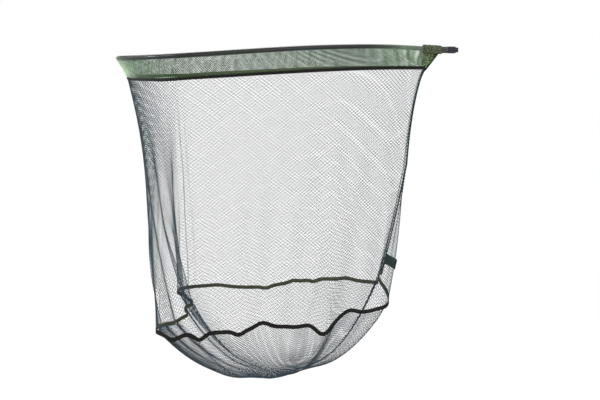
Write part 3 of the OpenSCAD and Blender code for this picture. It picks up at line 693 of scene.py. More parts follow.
# %% The base as cloth
PAN_ROWS, PAN_COLUMNS = 121, 1441
PAN_EDGE, PAN_RISE, PAN_LIP = 0.985, 2.6, 1.5  # the lip is how far below the seam the bowl ends
PAN_MIDDLE = 0.002  # share of the way out at which the rings begin
FOLD_STOP = 1 / 12  # share of the way out over which the folds end at the seam

# Sags of the bowl: place in x, width and depth, in mm
PAN_SAGS = [(-445, 38, 8), (-540, 34, 4), (-350, 34, -4)]

# Folds in the base: bearing in degrees, width in degrees, depth in mm, how soon it fades
PAN_FOLDS = [(212, 3.0, 5, 6), (222, 3.5, -6, 5), (236, 4, 4, 6), (252, 5, -4, 7),
    (318, 4, -6, 5), (330, 3, 5, 6), (341, 3.5, -6, 6), (352, 3, 4, 7), (15, 4, -5, 6),
    (60, 6, 4, 8), (110, 6, -4, 8), (150, 5, 4, 7), (178, 5, -5, 6)]


def pan_cloth():
    """The base bowl as a grid of rings: each ring is the seam's outline drawn towards the
    middle, and its height rises from the lowest point as that share to a power. With it come
    its outward directions, each column's bearing from the middle, the share of the way along
    the cloth at each ring, and how far the seam is from the middle at each bearing."""
    share = np.linspace(-1, 1, PAN_COLUMNS)
    s = np.linspace(PAN_MIDDLE, 1, PAN_ROWS)[:, None]
    edge = seam(share)
    centre = np.array([(base_nose_x + BASE_END_X) / 2, 0.0])
    plan = centre + (edge[:, :2] - centre) * s[..., None] * PAN_EDGE
    z = -bag_depth + (edge[:, 2] + bag_depth - PAN_LIP) * s**PAN_RISE
    z = z - bells(plan[..., 0], PAN_SAGS) * (1 - s**2)
    bowl = together(plan[..., 0], plan[..., 1], z)
    bearing = np.degrees(np.arctan2(edge[:, 1], edge[:, 0] - centre[0])) % 360
    bearing[[0, -1]] = 360, 0
    stop = np.minimum(1, (1 - s) / FOLD_STOP)
    fold = 0.0
    for place, width, depth, fade in PAN_FOLDS:
        apart = (bearing - place + 180) % 360 - 180
        fold = fold + depth * np.exp(-((apart / width) ** 2)) * s**fade * stop
    outward = normals_of(bowl)
    bowl = bowl + outward * fold[..., None]
    steps = steps_of(bowl)
    profile = run_of(steps.mean(axis=1))
    return bowl, outward, bearing, profile / profile[-1], steps.sum(axis=0)


bowl_grid, bowl_outward, bearing, profile, reach = pan_cloth()
turn = np.radians(bearing)

# %% The base's netting
PAN_PITCH, PAN_ROW, PAN_STRAND_W, PAN_STRAND_DEPTH = 8.6, 3.4, 0.4, 0.93

span = 2 * reach.max()
flat, outer, faces, columns = hex_net(span, span, PAN_PITCH, PAN_ROW, PAN_STRAND_W)
flat = (flat - span / 2) * [1, -1]
flat_bearing = np.degrees(np.arctan2(flat[:, 1], flat[:, 0])) % 360
column = np.interp(flat_bearing, bearing[::-1], np.arange(PAN_COLUMNS)[::-1])
ratio = np.hypot(*flat.T) / np.interp(flat_bearing, bearing[::-1], reach[::-1])
inside = [(ratio[f] < 1).any(axis=1) for f in faces]
row = np.interp(np.minimum(ratio, 1), profile, np.arange(PAN_ROWS))
points = laid(flat, row, column, bowl_grid, bowl_outward, PAN_STRAND_DEPTH, outer)
bases = panels(("net_base_front", "net_base_rear"), points, flat / span + 0.5,
    *([part[mine] for part, mine in zip(parts, inside)] for parts in (faces, columns)))

# %% [markdown]
# ## Sleeve
# A band of sheer cloth is folded over the tube and both its layers are caught in the binding,
# so the hoop slides in like a rod in a curtain. The cloth is woven on the bias: fine threads
# cross at 45 degrees, and four layers of them overlap when one looks through the band, which is
# what gives it its shimmer. Each thread is again a bar of three sides on a flat cloth that is
# bent over the tube. The cloth is gathered at the yoke and at the nose, where its threads crowd
# into folds that are painted pale, with painted light and shade across their creases, and it is
# stretched thin over the tube, where its threads are painted near black, a painted shade for the
# tube that shows through. The real threads are finer, and these are as coarse as they need to be
# to show.

# %% Creases of the sleeve
CREASE_LEAN = 12.0  # how far a crease leans towards the handle over the sleeve's height
NOSE_GATHERS, HANDLE_GATHERS = (0.05, 0.16), (0.72, 0.9)  # shares of the outline
FIRST_CREASE, SECOND_CREASE, WANDER_LENGTH = 2.6, 5.7, 31  # mm over one radian of each wave
SECOND_SHARE, WANDER = 0.5, 1.5


def at_nose(share):
    """1 at the nose and 0 along the sides."""
    return 1 - smooth(np.abs(share), *NOSE_GATHERS)


def at_handle(share):
    """1 at the handle end and 0 along the sides."""
    return smooth(np.abs(share), *HANDLE_GATHERS)


def crease(run, slide, side, v):
    """Height of the creases, -1 to 1: two waves along the run of the hoop, whose lengths wander.
    slide is how far in x the cloth lies from the tube at its own share, and v is the share of
    the way up from the binding, so the creases stand upright but for their own lean."""
    place = run + side * (slide - CREASE_LEAN * v)
    first = np.sin(place / FIRST_CREASE + WANDER * np.sin(place / WANDER_LENGTH))
    return (first + SECOND_SHARE * np.sin(place / SECOND_CREASE)) / (1 + SECOND_SHARE)


print("creases every", round(2 * np.pi * FIRST_CREASE), "mm")

# %% The sleeve as cloth
SLEEVE_COLUMNS = 1801
PROFILE_FLAT, PROFILE_ROUND = 10, 13  # rows of each flat part and of the bend over the tube
CLOTH_GAP, FOOT_RISE = 0.9, 1.0  # from the tube or the binding's middle plane to the cloth
BEND_FROM_DEG, BEND_TO_DEG = 205, -25
GATHER, NOSE_GATHER, HANDLE_GATHER = 0.8, 3.0, 3.6
OUTER_SHARE, OUTER_SLACK = 0.7, 0.8  # of the gathers: the outer side's waves and its hollow


def out_of(heading):
    """Level directions out of the net, to the left of these headings round its outline."""
    return unit(np.cross([0.0, 0.0, 1.0], heading))


def sleeve_cloth():
    """The sleeve as a grid: each column goes from the binding up the inner side, over the tube
    and down the outer side. Gathers push the two flat parts in and out as waves that are
    highest halfway up."""
    share = np.linspace(-1, 1, SLEEVE_COLUMNS)
    rim_line, foot = rim(share), hem(share) + [0, 0, FOOT_RISE]
    out = out_of(np.gradient(rim_line, axis=0))
    turn = np.radians(np.linspace(BEND_FROM_DEG, BEND_TO_DEG, PROFILE_ROUND))[:, None, None]
    over = rim_line + (TUBE_R + CLOTH_GAP) * (np.cos(turn) * out + np.sin(turn) * [0, 0, 1])
    v = np.linspace(0, 1, PROFILE_FLAT, endpoint=False)[:, None, None]
    inner = foot - CLOTH_GAP * out + (over[0] - foot + CLOTH_GAP * out) * v
    outer = foot + CLOTH_GAP * out + (over[-1] - foot - CLOTH_GAP * out) * v
    path = run_of(steps_of(rim_line))
    gather = GATHER + NOSE_GATHER * at_nose(share) + HANDLE_GATHER * at_handle(share)
    slide = (inner - rim_line)[..., 0]
    wave = crease(path, slide, np.sign(share), v[..., 0]) * gather
    swell = np.sin(np.pi * v)
    bulge = swell * wave[..., None]
    slack = swell * (wave * OUTER_SHARE - gather * OUTER_SLACK)[..., None]
    return np.concatenate([inner + out * bulge, over, (outer + out * slack)[::-1]]), path


sleeve_grid, sleeve_path = sleeve_cloth()
sleeve_outward = -normals_of(sleeve_grid)
sleeve_steps = steps_of(sleeve_grid[:, SLEEVE_COLUMNS // 2])
print(f"sleeve cloth {sleeve_path[-1]:.0f} x {sleeve_steps.sum():.0f} mm")

# %% Bars


def bars(path, side, outward, width, depth):
    """Three-sided bars along many lines at once, as points of shape lines x steps x 3: two outer
    corners half a width to each side, and an inner edge a depth below."""
    left, right = path + side * width / 2, path - side * width / 2
    return np.stack([left, right, path - outward * depth], 2)


def bar_faces(lines, steps):
    """Quads of such bars, each between one step and the next."""
    first = (np.arange(lines)[:, None] * steps + np.arange(steps - 1)[None, :]).ravel() * 3
    return np.concatenate([together(first + a, first + 3 + a, first + 3 + b, first + b)
        for a, b in ((0, 1), (1, 2), (2, 0))])


print("quads of two bars with four steps each:", len(bar_faces(2, 4)))

# %% Threads of the sleeve
THREAD_PITCH, THREAD_W, THREAD_DEPTH = 3.8, 0.6, 0.42
THREAD_LIFT = 0.12  # how far one family lies above the cloth's middle and the other below it
THREAD_THIN = 0.35  # share of their width left where the cloth is stretched over the tube
THREAD_LEAST = 0.25  # share of their width left in the deepest hollow of a crease
NOSE_GROWTH, CREASE_GROWTH = 0.5, 1.1  # how much wider they are at the nose and on a crease
NOSE_CREASES, SIDE_CREASES = 0.5, 0.25  # how strong the creases are, next to the handle end's 1
HANDLE_PAINTED_LIGHT, CREASE_PAINTED_LIGHT = 0.6, 0.6  # painted highlight at the handle end, and what a crease changes of it
NOSE_COVER = 0.7  # how much of the stretch over the tube, and of its painted shade, is lost at the nose


def sleeve_threads(lean):
    """One family of threads, leaning one way at 45 degrees on the cloth, with the run at which
    each starts, its places on the cloth, and two marks: a painted highlight, which makes the
    threads pale at the nose and the handle end and lays painted light and shade across the
    creases, and the stretch over the tube, which thins the threads and paints them near black
    as painted shade."""
    last_row = len(sleeve_grid) - 1
    v = run_of(sleeve_steps)
    count = int(sleeve_path[-1] / (THREAD_PITCH * np.sqrt(2)))
    start = (np.arange(count) + 0.5) / count * sleeve_path[-1]
    along = np.abs(start[:, None] + lean * (v - v[-1] / 2)[None, :])
    along = np.where(along > sleeve_path[-1], 2 * sleeve_path[-1] - along, along)
    rows = np.broadcast_to(np.arange(last_row + 1.0), along.shape)
    columns = np.interp(along, sleeve_path, np.arange(SLEEVE_COLUMNS))
    path = sample(sleeve_grid, rows, columns)
    outward = unit(sample(sleeve_outward, rows, columns))
    side = unit(np.cross(outward, unit(np.gradient(path, axis=1))))
    place = together(columns / SLEEVE_COLUMNS, rows / (last_row + 1))
    share = place[..., 0] * 2 - 1
    bend, bend_end = PROFILE_FLAT, PROFILE_FLAT + PROFILE_ROUND
    over = smooth(rows, bend - 1, bend + 1) - smooth(rows, bend_end - 2, bend_end)
    up = np.minimum(1, np.minimum(rows, last_row - rows) / PROFILE_FLAT)
    fold = crease(along, (path - rim(share))[..., 0], np.sign(share), up) * (1 - over)
    fold = fold * (at_handle(share) + NOSE_CREASES * at_nose(share) + SIDE_CREASES)
    # painted highlight: pale threads at the nose and the handle end, and painted light and shade
    # across the creases
    painted_gather_light = at_nose(share) + at_handle(share) * (HANDLE_PAINTED_LIGHT - CREASE_PAINTED_LIGHT * fold)
    # the stretch thins the threads over the tube, and its mark paints them near black as painted
    # shade
    stretch_and_painted_shade = over * (1 - at_handle(share)) * (1 - NOSE_COVER * at_nose(share))
    grow = np.maximum(THREAD_LEAST, 1 + NOSE_GROWTH * at_nose(share) + CREASE_GROWTH * fold)
    grow = (grow * (1 - (1 - THREAD_THIN) * stretch_and_painted_shade))[..., None]
    lifted = path + outward * THREAD_LIFT * lean
    threads = bars(lifted, side * grow, outward * grow, THREAD_W, THREAD_DEPTH)
    return threads, start, place, painted_gather_light, stretch_and_painted_shade


families = [sleeve_threads(lean) for lean in (-1, 1)]
threads, start, place, painted_gather_light, stretch_and_painted_shade = (np.concatenate(part) for part in zip(*families))
sleeves = []
for name, side in (("sleeve_cloth_left", -1), ("sleeve_cloth_right", 1)):
    mine = side * (start - sleeve_path[-1] / 2) > 0
    uv, *marks = (np.repeat(part[mine].reshape(-1, *part.shape[2:]), 3, axis=0)
        for part in (place, painted_gather_light, stretch_and_painted_shade))
    sleeves.append(new_piece(name, threads[mine].reshape(-1, 3),
        [bar_faces(*threads[mine].shape[:2])], smooth_faces=False, uv=uv,
        marks=dict(zip(("painted_gather_light", "stretch_and_painted_shade"), marks))))

# %% [markdown]
# ## Tapes
# Three woven tapes carry the load: the binding that joins the sleeve to the wall, the seam
# round the base, and the line down the handle end. A tape folded over a net edge is thicker in
# the middle than a strip of paper, and its edges are round, so each has the section of a flat
# oval, swept along its own line.

# %% Sweeping a section
FINE_POINTS = 4001


def ribbon(name, line, out, up, section, closed=False, grow=1.0):
    """A piece of the given section, as (out, up) pairs in millimetres, swept along a line of
    points and made grow times as large. Each point is marked with its run along the line and its
    way round the section, for the weave, and with how far it faces inwards, for the colours."""
    n = len(section)
    grow = np.broadcast_to(grow, len(line))[:, None, None]
    points = (line[:, None] + grow * out[:, None] * section[:, 0, None]
        + grow * up[:, None] * section[:, 1, None]).reshape(-1, 3)
    faces = [grid_faces(len(line), n, wrap_rows=closed, wrap_columns=True)]
    run = run_of(steps_of(line))
    along = np.repeat(run, n)
    across = np.tile(run_of(steps_of(section)), len(line))
    inner = np.tile((section[:, 0] < 0).astype(float), len(line))
    if not closed:
        last = len(points) - n
        ring = np.arange(n)
        ahead = np.roll(ring, -1)
        faces.append(together(ring, ahead, last + n))
        faces.append(together(last + ahead, last + ring, last + n + 1))
        points = np.concatenate([points, [points[:n].mean(axis=0), points[last:].mean(axis=0)]])
        along, across = np.append(along, run[[0, -1]]), np.append(across, [0, 0])
        inner = np.append(inner, [0, 0])
    return new_piece(name, points, faces, marks={"along": along, "across": across, "inner": inner})


def tape_section(height, thick, sides=16):
    """A flat oval as (out, up) pairs: the superellipse x^4 + y^4 = 1, drawn to size."""
    turn = 2 * np.pi * np.arange(sides) / sides
    x, y = (np.sign(wave) * np.sqrt(np.abs(wave)) for wave in (np.cos(turn), np.sin(turn)))
    return together(x * thick, y * height) / 2


def closed_line(function, count):
    """Points of a closed outline, evenly spaced along it, by a much finer line that is
    measured first."""
    share = np.linspace(-1, 1, FINE_POINTS)
    path = run_of(steps_of(function(share)))
    return function(np.interp(np.linspace(0, path[-1], count, endpoint=False), path, share))


def loop_frame(line):
    """Directions across a closed line, outwards, and up along it."""
    heading = unit(np.roll(line, -1, axis=0) - np.roll(line, 1, axis=0))
    out = out_of(heading)
    return out, unit(np.cross(heading, out))


print("corner of a flat oval 10 x 2 mm:", np.round(tape_section(10, 2)[2], 2).tolist())

# %% Binding and seam
BINDING_H, BINDING_T = 8.0, 2.6
BINDING_POINTS, SEAM_POINTS = 1000, 900

binding_line = closed_line(hem, BINDING_POINTS)
binding_out, binding_up = loop_frame(binding_line)
binding = ribbon("binding", binding_line, binding_out, binding_up,
    tape_section(BINDING_H, BINDING_T), closed=True)

seam_line = closed_line(seam, SEAM_POINTS)
seam_out, seam_up = loop_frame(seam_line)
base_tape = ribbon("base_tape", seam_line, seam_out, seam_up,
    tape_section(SEAM_TAPE_H, SEAM_TAPE_T), closed=True)

# %% Handle tape
# It stands just off the net's edge, and grows into a bundle of gathers where the net's last
# folds are sewn in above the base seam. Its lumps are two waves that never fall into step.
HANDLE_TAPE_H, HANDLE_TAPE_T = 6.0, 2.6
LINE_STEPS, TOP_STEPS, TOP_FADE = 240, 20, 12  # points down the net, above it, and of its fade
LINE_END = 0.985  # how far down the wall the tape ends
OFF_NET = [1.8, 0, 0]
FROM_CORNER = [-2.5, 0, 2.5]  # from the solid's highest corner to the top of the tape's line
BUNDLE_SHARES = (0.87, 0.97)  # of the tape's points, where the bundle grows
BUNDLE_OFF, TOP_GROWTH, BUNDLE_GROWTH, LUMPS = 1.2, 0.35, 0.6, 0.2

line_t = np.linspace(0, LINE_END, LINE_STEPS)
end_line = wall(np.ones_like(line_t), line_t)
_, tape_high = box_mm("handle_seam")
v = np.linspace(0, 1, TOP_STEPS, endpoint=False)[:, None]
top_part = (1 - v) * (tape_high * [1, 0, 1] + FROM_CORNER) + v * (end_line[0] + OFF_NET)
end_run = np.concatenate([top_part, end_line + OFF_NET])
step = np.arange(len(end_run))
bundle = smooth(step / step[-1], *BUNDLE_SHARES)
lumps = np.sin(step * 0.9) + 0.6 * np.sin(step * 2.3)
end_run[:, 0] += BUNDLE_OFF * bundle
end_side = np.broadcast_to([0.0, 1.0, 0.0], end_run.shape)
end_out = unit(np.cross(np.gradient(end_run, axis=0), end_side))
at_top = 1 - smooth(step, TOP_STEPS, TOP_STEPS + TOP_FADE)
end_tape = ribbon("handle_tape", end_run, end_out, end_side,
    tape_section(HANDLE_TAPE_H, HANDLE_TAPE_T),
    grow=1 + TOP_GROWTH * at_top + bundle * (BUNDLE_GROWTH + LUMPS * lumps))
print("tape lengths", [round(steps_of(line).sum()) for line in (binding_line, seam_line, end_run)])

# %% [markdown]
# ## Stitches
# The tapes are closed by machine with black thread. A lockstitch shows as a row of short bars
# that dive into the cloth at both ends, so each is a small lens that is half sunk in the tape.
# The binding has two rows, one near each edge, and the base seam has one.

# %% Stitches
STITCH_LEN, STITCH_W, STITCH_RISE, STITCH_STEP = 2.6, 0.55, 0.3, 3.7
STITCH_SIDES = 8
ONE_ROW, TWO_ROWS = (0.0,), (-2.1, 2.1)  # heights of the rows on a tape's face


def stitches(name, line, out, up, rows, proud):
    """Rows of stitches on a tape: each is a lens at even steps along the line, whose middle
    stands proud of the line by this much, at the rows' heights on the tape's face."""
    run = run_of(steps_of(line))
    at = np.arange(STITCH_STEP, run[-1] - STITCH_STEP, STITCH_STEP)
    middle, face, rise = (together(*(np.interp(at, run, axis) for axis in part.T))
        for part in (line, out, up))
    centre = np.concatenate([middle + face * proud + rise * row for row in rows])
    face, rise = np.tile(face, (len(rows), 1)), np.tile(rise, (len(rows), 1))
    heading = unit(np.cross(face, rise))
    turn = 2 * np.pi * np.arange(STITCH_SIDES) / STITCH_SIDES
    long, wide = np.cos(turn) * STITCH_LEN / 2, np.sin(turn) * STITCH_W / 2
    ring = centre[:, None] + heading[:, None] * long[:, None] + rise[:, None] * wide[:, None]
    poles = np.stack([centre + face * STITCH_RISE, centre - face * STITCH_RISE], 1)
    points = np.concatenate([ring, poles], 1)
    k = np.arange(STITCH_SIDES)
    ahead = np.roll(k, -1)
    one = np.concatenate([together(k, ahead, STITCH_SIDES), together(ahead, k, STITCH_SIDES + 1)])
    faces = (np.arange(len(points))[:, None, None] * points.shape[1] + one).reshape(-1, 3)
    return new_piece(name, points.reshape(-1, 3), [faces])


binding_stitches = stitches("binding_stitches", binding_line, binding_out, binding_up,
    TWO_ROWS, BINDING_T / 2)
seam_stitches = stitches("seam_stitches", seam_line, seam_out, seam_up, ONE_ROW,
    SEAM_TAPE_T / 2)

# %% [markdown]
# ## Label tab
# A short piece of woven green tape is sewn by one edge to the handle tape, near its foot, and
# bears nothing. It is stiff enough to stand out, but it droops and curls a little, as any loose
# tab does that has been wet, so it is a bent grid with a thickness and not a flat card. Its root
# is held by crosses of thread, which are two rows of stitches that lean opposite ways.

# %% Label tab
TAB_W, TAB_H, TAB_T = 29.0, 25.0, 1.2
TAB_ROWS, TAB_COLUMNS = 25, 17
TAB_SHARE, TAB_SLOPE_DEG = 0.905, 26.0
TAB_REACH = 6  # points of the handle tape each way from the tab's middle that its root covers
TAB_OFF, TAB_DROOP, TAB_CURL = 1.0, 3.0, 2.0
TAB_RIM = 0.8  # how far in from the rim the tab has its full thickness

tab_at = np.searchsorted(line_t, TAB_SHARE) + TOP_STEPS


def label_tab():
    """A cloth tab that slopes down and out from the handle tape: a grid whose droop grows as
    the square of the way out and whose curl is a sine of it, made thick both ways, and rounded
    at the rim by a square root."""
    root = end_run[tab_at] + [TAB_OFF, 0, 0]
    down = unit(end_run[tab_at + TAB_REACH] - end_run[tab_at - TAB_REACH])
    slope = np.radians(TAB_SLOPE_DEG)
    outwards = np.array([np.cos(slope), 0, -np.sin(slope)])
    u, v = np.meshgrid(np.linspace(0, 1, TAB_ROWS), np.linspace(-0.5, 0.5, TAB_COLUMNS),
        indexing="ij")
    flat = root + outwards * (u * TAB_W)[..., None] + down * (v * TAB_H)[..., None]
    middle = flat + together(0, TAB_CURL * np.sin(2.4 * u + 0.5 * v) * u, -TAB_DROOP * u**2)
    inset = np.minimum(np.minimum(u, 1 - u) * TAB_W, (0.5 - np.abs(v)) * TAB_H)
    half = TAB_T / 2 * np.sqrt(np.minimum(1, inset / TAB_RIM + 0.02))
    thick = normals_of(middle) * half[..., None]
    points = np.concatenate([middle + thick, middle - thick]).reshape(-1, 3)
    count = TAB_ROWS * TAB_COLUMNS
    top = grid_faces(TAB_ROWS, TAB_COLUMNS)
    number = np.arange(count).reshape(TAB_ROWS, TAB_COLUMNS)
    ring = np.concatenate([number[0], number[1:, -1], number[-1, -2::-1], number[-2:0:-1, 0]])
    ahead = np.roll(ring, -1)
    edge = together(ahead, ring, ring + count, ahead + count)
    marks = {"along": np.tile((u * TAB_W).ravel(), 2), "across": np.tile((v * TAB_H).ravel(), 2),
        "inner": np.zeros(2 * count)}
    return new_piece("tab", points, [top, top[:, ::-1] + count, edge], marks=marks)


tab = label_tab()

# %% Stitches of the tab
ROOT_OFF, ROOT_PROUD = 3.2, 0.7

near = slice(tab_at - TAB_REACH, tab_at + TAB_REACH + 1)
root_line = end_run[near] + end_out[near] * ROOT_OFF
root_down = unit(np.gradient(root_line, axis=0))
to_left = np.broadcast_to([0.0, -1.0, 0.0], root_line.shape)
tab_stitches = [stitches(f"tab_stitches_{lean + 1}", root_line, to_left,
    unit(end_out[near] + lean * root_down), ONE_ROW, ROOT_PROUD) for lean in (-1, 1)]

# %% [markdown]
# ## Neck wrap
# Where both ends of the sleeve meet, the spare cloth is gathered and bound round the yoke, so
# no bare plastic shows there. It is a thin tube of cloth round an oval that narrows from the two
# tube ends to the single neck, with many small pleats along it. Below it a web of the same
# gathers runs down to the point where the binding closes.

# %% Neck wrap
WRAP_RINGS, WRAP_SIDES = 70, 144
WRAP_THICK = 0.9
WRAP_LEAD = 4.0  # how far the wrap starts in front of the yoke's face
FRONT_W, FRONT_H, BACK_W, BACK_H = 15.8, 6.6, 10.9, 9.9  # half sizes of its oval at both ends
FRONT_SWELL, SWELL_BY, NARROW_FROM = 2.8, 1 / 9, 0.86  # and shares of its length
PLEAT, ROUND_OFF = 0.6, 1 / 12  # height of the pleats, and share over which they rise
TUCK = 0.6  # how far the cloth is drawn in at both ends


def neck_wrap():
    """Rings round the yoke, outside and then back inside, so the tube of cloth is closed. A
    ring is a circle pulled apart sideways. Its pleats are two waves round it that slant and
    wander, and the product of two more that breaks them up."""
    run = np.linspace(0, 1, WRAP_RINGS)[:, None]
    turn = 2 * np.pi * np.arange(WRAP_SIDES)[None, :] / WRAP_SIDES
    narrow, swell = smooth(run, NARROW_FROM, 1.0), FRONT_SWELL * np.minimum(1, run / SWELL_BY)
    half_w = (1 - narrow) * (FRONT_W + swell) + narrow * BACK_W
    half_h = (1 - narrow) * (FRONT_H + swell) + narrow * BACK_H
    ends = np.minimum(1, np.minimum(run, 1 - run) / ROUND_OFF)
    waves = np.sin(15 * turn + 2.5 * np.sin(5 * run)) + 0.7 * np.sin(23 * turn - 6 * run)
    breaks = 1.2 * np.sin(9 * run + 3 * turn) * np.sin(31 * run + 2 * np.sin(turn))
    front_x, back_x = yoke_face_x - WRAP_LEAD, box_mm("neck_wrap")[1][0]
    x = front_x + (back_x - front_x) * run
    z = SEAT_DEPTH * tilt_sine * (1 - run)

    def ring(rise):
        """The oval made larger by this much all round."""
        y = (half_w - half_h) * np.tanh(3 * np.cos(turn)) + (half_h + rise) * np.cos(turn)
        return together(x, y, z + (half_h + rise) * np.sin(turn))

    outside = ring(PLEAT * (waves + breaks) * ends + ends - TUCK)
    points = np.concatenate([outside, ring(-WRAP_THICK)[::-1]])
    faces = grid_faces(*points.shape[:2], wrap_rows=True, wrap_columns=True)
    return new_piece("wrap", points.reshape(-1, 3), [faces[:, ::-1]])


wrap = neck_wrap()

# %% Neck web
WEB_ROWS, WEB_SIDES = 60, 64
WEB_BACK, WEB_FRONT = [-0.5, 0, 1.0], [-9, 0, -1.0]  # from the tape's top and the yoke's face
WEB_TIP, WEB_TIP_RUN = [2.4, 0, 3.0], [-10.0, 0, 0]  # from the wall's top, and on to the front
WEB_THICK, WEB_PLEAT, WEB_WAVE = 2.4, 1.3, 0.6


def neck_web():
    """The gathers below the wrap: a leaf in the middle plane between the tape's line and the
    sleeve's end. It is a flat oval across, which closes at both ends as a square root does, and
    its pleats fan out from the binding's tip."""
    v = np.linspace(0, 1, WEB_ROWS)[:, None]
    turn = 2 * np.pi * np.arange(WEB_SIDES)[None, :] / WEB_SIDES
    across, face = np.cos(turn), np.sin(turn)
    top_back, top_front = end_run[0] + WEB_BACK, np.array([yoke_face_x, 0, 0]) + WEB_FRONT
    tip = end_line[0] + WEB_TIP
    back = top_back + (tip - top_back) * v[..., None]
    front = top_front + (tip + WEB_TIP_RUN - top_front) * v[..., None]
    points = (back + front) / 2 + (back - front) / 2 * across[..., None]
    closing = np.sqrt(np.minimum(1, np.minimum(v, 1 - v) * 8 + 0.01))
    swell = WEB_THICK + WEB_PLEAT * np.sin(11 * across + 3 * v) * (1 - across**2)
    points[..., 1] = (face * swell + WEB_WAVE * np.sin(30 * v)) * closing
    poles = [points[0].mean(axis=0), points[-1].mean(axis=0)]
    count, ring = WEB_ROWS * WEB_SIDES, np.arange(WEB_SIDES)
    caps = [together(end, np.roll(end, -1), count + k)
        for k, end in enumerate((ring[::-1], count - WEB_SIDES + ring))]
    return new_piece("web", np.concatenate([points.reshape(-1, 3), poles]),
        [grid_faces(WEB_ROWS, WEB_SIDES, wrap_columns=True), *caps])


web = neck_web()

# %% [markdown]
# ## Hoop tube
# The hoop is one drawn aluminium tube, bent on a former and powder coated near black. Its centre
# line is known exactly, so a round section swept along it gives a smoother tube than the solid's
# short straight lengths.

# %% Hoop
HOOP_POINTS, HOOP_SIDES = 601, 28

seat = np.array([yoke_face_x + SEAT_DEPTH * np.cos(np.radians(EXIT_TILT_DEG)), TUBE_Y, 0.0])
hoop_rim = rim(np.linspace(-1, 1, HOOP_POINTS))
hoop_line = np.concatenate([[seat * [1, -1, 1]], hoop_rim, [seat]])
heading = unit(np.gradient(hoop_line, axis=0))
out = out_of(heading)
turn = 2 * np.pi * np.arange(HOOP_SIDES) / HOOP_SIDES
circle = TUBE_R * together(np.cos(turn), np.sin(turn))
hoop = ribbon("hoop", hoop_line, out, unit(np.cross(heading, out)), circle)
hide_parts("hoop_tube")

# %% [markdown]
# ## Finishes
# Each finish starts from what the real part is made of and how its surface was made. Dark parts
# differ less in colour than in how they break up a highlight, so each has its own fine relief.
# A picture of the surface would need a flat plan of every solid. Noise needs none, because it is
# worked out at each place of the object's own coordinates, and its size is given in millimetres.

# %% Speckle


def speckle(tree, size_mm, detail=2.0, stretch=(1.0, 1.0, 1.0)):
    """Noise from 0 to 1 over the object's own coordinates, with features of this size."""
    place = add(tree, "ShaderNodeTexCoord").outputs["Object"]
    place = add(tree, "ShaderNodeMapping", place, scale=stretch)
    return add(tree, "ShaderNodeTexNoise", place, scale=1 / (size_mm * MM), detail=detail)


print("specks of 1.1 mm lie", round(1 / 1.1, 2), "to the millimetre")

# %% [markdown]
# ## Powder coat
# The bent tube is dusted with black powder and baked, and the melted coat flows out in a fine
# orange peel. So its highlights are soft and a little broken up, and handling leaves a faint
# dust on it. Plain satin black would do from afar, but near by it would look like rubber.

# %% Powder coat


def powder_coat():
    """Satin black powder coat: two blacks mixed by coarse speckle, for the dust, under a relief
    of fine speckle, for the orange peel."""
    material, tree = blank("satin black powder coat")
    dust = add(tree, "ShaderNodeMapRange", speckle(tree, 22, 4.0), from_min=0.45, from_max=0.75)
    colour = add(tree, "ShaderNodeMix", dust, "#0C0D0E", "#1A1C1C", data_type="RGBA")
    peel = add(tree, "ShaderNodeBump", height=speckle(tree, 1.1), strength=0.5,
        distance=0.02 * MM)
    coat = add(tree, "ShaderNodeBsdfPrincipled", base_color=colour, normal=peel, roughness=0.34,
        ior=1.5)
    add(tree, "ShaderNodeOutputMaterial", coat)
    return material


hard = {"hoop_coating": powder_coat()}
print(hard["hoop_coating"].name, "has", len(hard["hoop_coating"].node_tree.nodes), "nodes")

# %% [markdown]
# ## Moulded plastic
# The yoke is moulded from nylon with glass fibre in it, the tube's plugs from plain black nylon,
# and the washer from white acetal, which is painted grey, a painted shade for the collar's
# shadow that it lies in. The mould is eroded by sparks, and its grain scatters light, so these
# parts look dull beside the tube. The filler shows as a mottle.

# %% Moulded plastic


def moulded(name, dark, light, grain_mm, depth_mm, roughness):
    """Moulded plastic: two colours mixed by speckle, for the filler, under a relief of finer
    speckle, for the mould's grain."""
    material, tree = blank(name)
    colour = add(tree, "ShaderNodeMix", speckle(tree, 6, 5.0), dark, light, data_type="RGBA")
    grain = add(tree, "ShaderNodeBump", height=speckle(tree, grain_mm, 3.0), strength=0.7,
        distance=depth_mm * MM)
    plastic = add(tree, "ShaderNodeBsdfPrincipled", base_color=colour, normal=grain,
        roughness=roughness, ior=1.53)
    add(tree, "ShaderNodeOutputMaterial", plastic)
    return material


hard["plug_nylon"] = moulded("moulded black nylon", "#151515", "#1F1F20", 0.3, 0.02, 0.5)
hard["yoke_nylon"] = moulded("glass-filled nylon", "#25272B", "#36383D", 0.35, 0.03, 0.55)
# the washer's acetal is white; its grey is painted shade for the collar's shadow
hard["washer_acetal"] = moulded("white acetal painted grey as shade", "#55565A", "#6C6D70", 0.5, 0.01, 0.42)
print("plastics:", hard["plug_nylon"].name, "to", hard["washer_acetal"].name)

# %% [markdown]
# ## Turned metal
# The socket and the lock ring are turned from aluminium and anodised dark, and the pin, the
# screws and the circlip are stainless steel. The tool leaves fine rings round the X axis, which
# stretch a highlight along it. Noise that is stretched across X gives such rings.

# %% Turned metal


def turned(name, dark, light, roughness, metallic):
    """Turned metal: two colours mixed by speckle, for its patches, under a relief of the tool's
    rings, which are speckle 0.18 mm wide and fifty times as long."""
    material, tree = blank(name)
    patches = add(tree, "ShaderNodeMapRange", speckle(tree, 4, 3.0), from_min=0.3, from_max=0.7)
    colour = add(tree, "ShaderNodeMix", patches, dark, light, data_type="RGBA")
    rings = add(tree, "ShaderNodeBump", height=speckle(tree, 0.18, 1.0, (1.0, 0.02, 0.02)),
        strength=0.6, distance=0.02 * MM)
    metal = add(tree, "ShaderNodeBsdfPrincipled", base_color=colour, normal=rings,
        roughness=roughness, metallic=metallic)
    add(tree, "ShaderNodeOutputMaterial", metal)
    return material


hard["socket_alloy"] = turned("dark anodised aluminium", "#303137", "#3F4047", 0.36, 0.85)
hard["fastener_steel"] = turned("stainless steel", "#85888B", "#9A9DA0", 0.28, 1.0)
print("hard finishes:", len(hard))
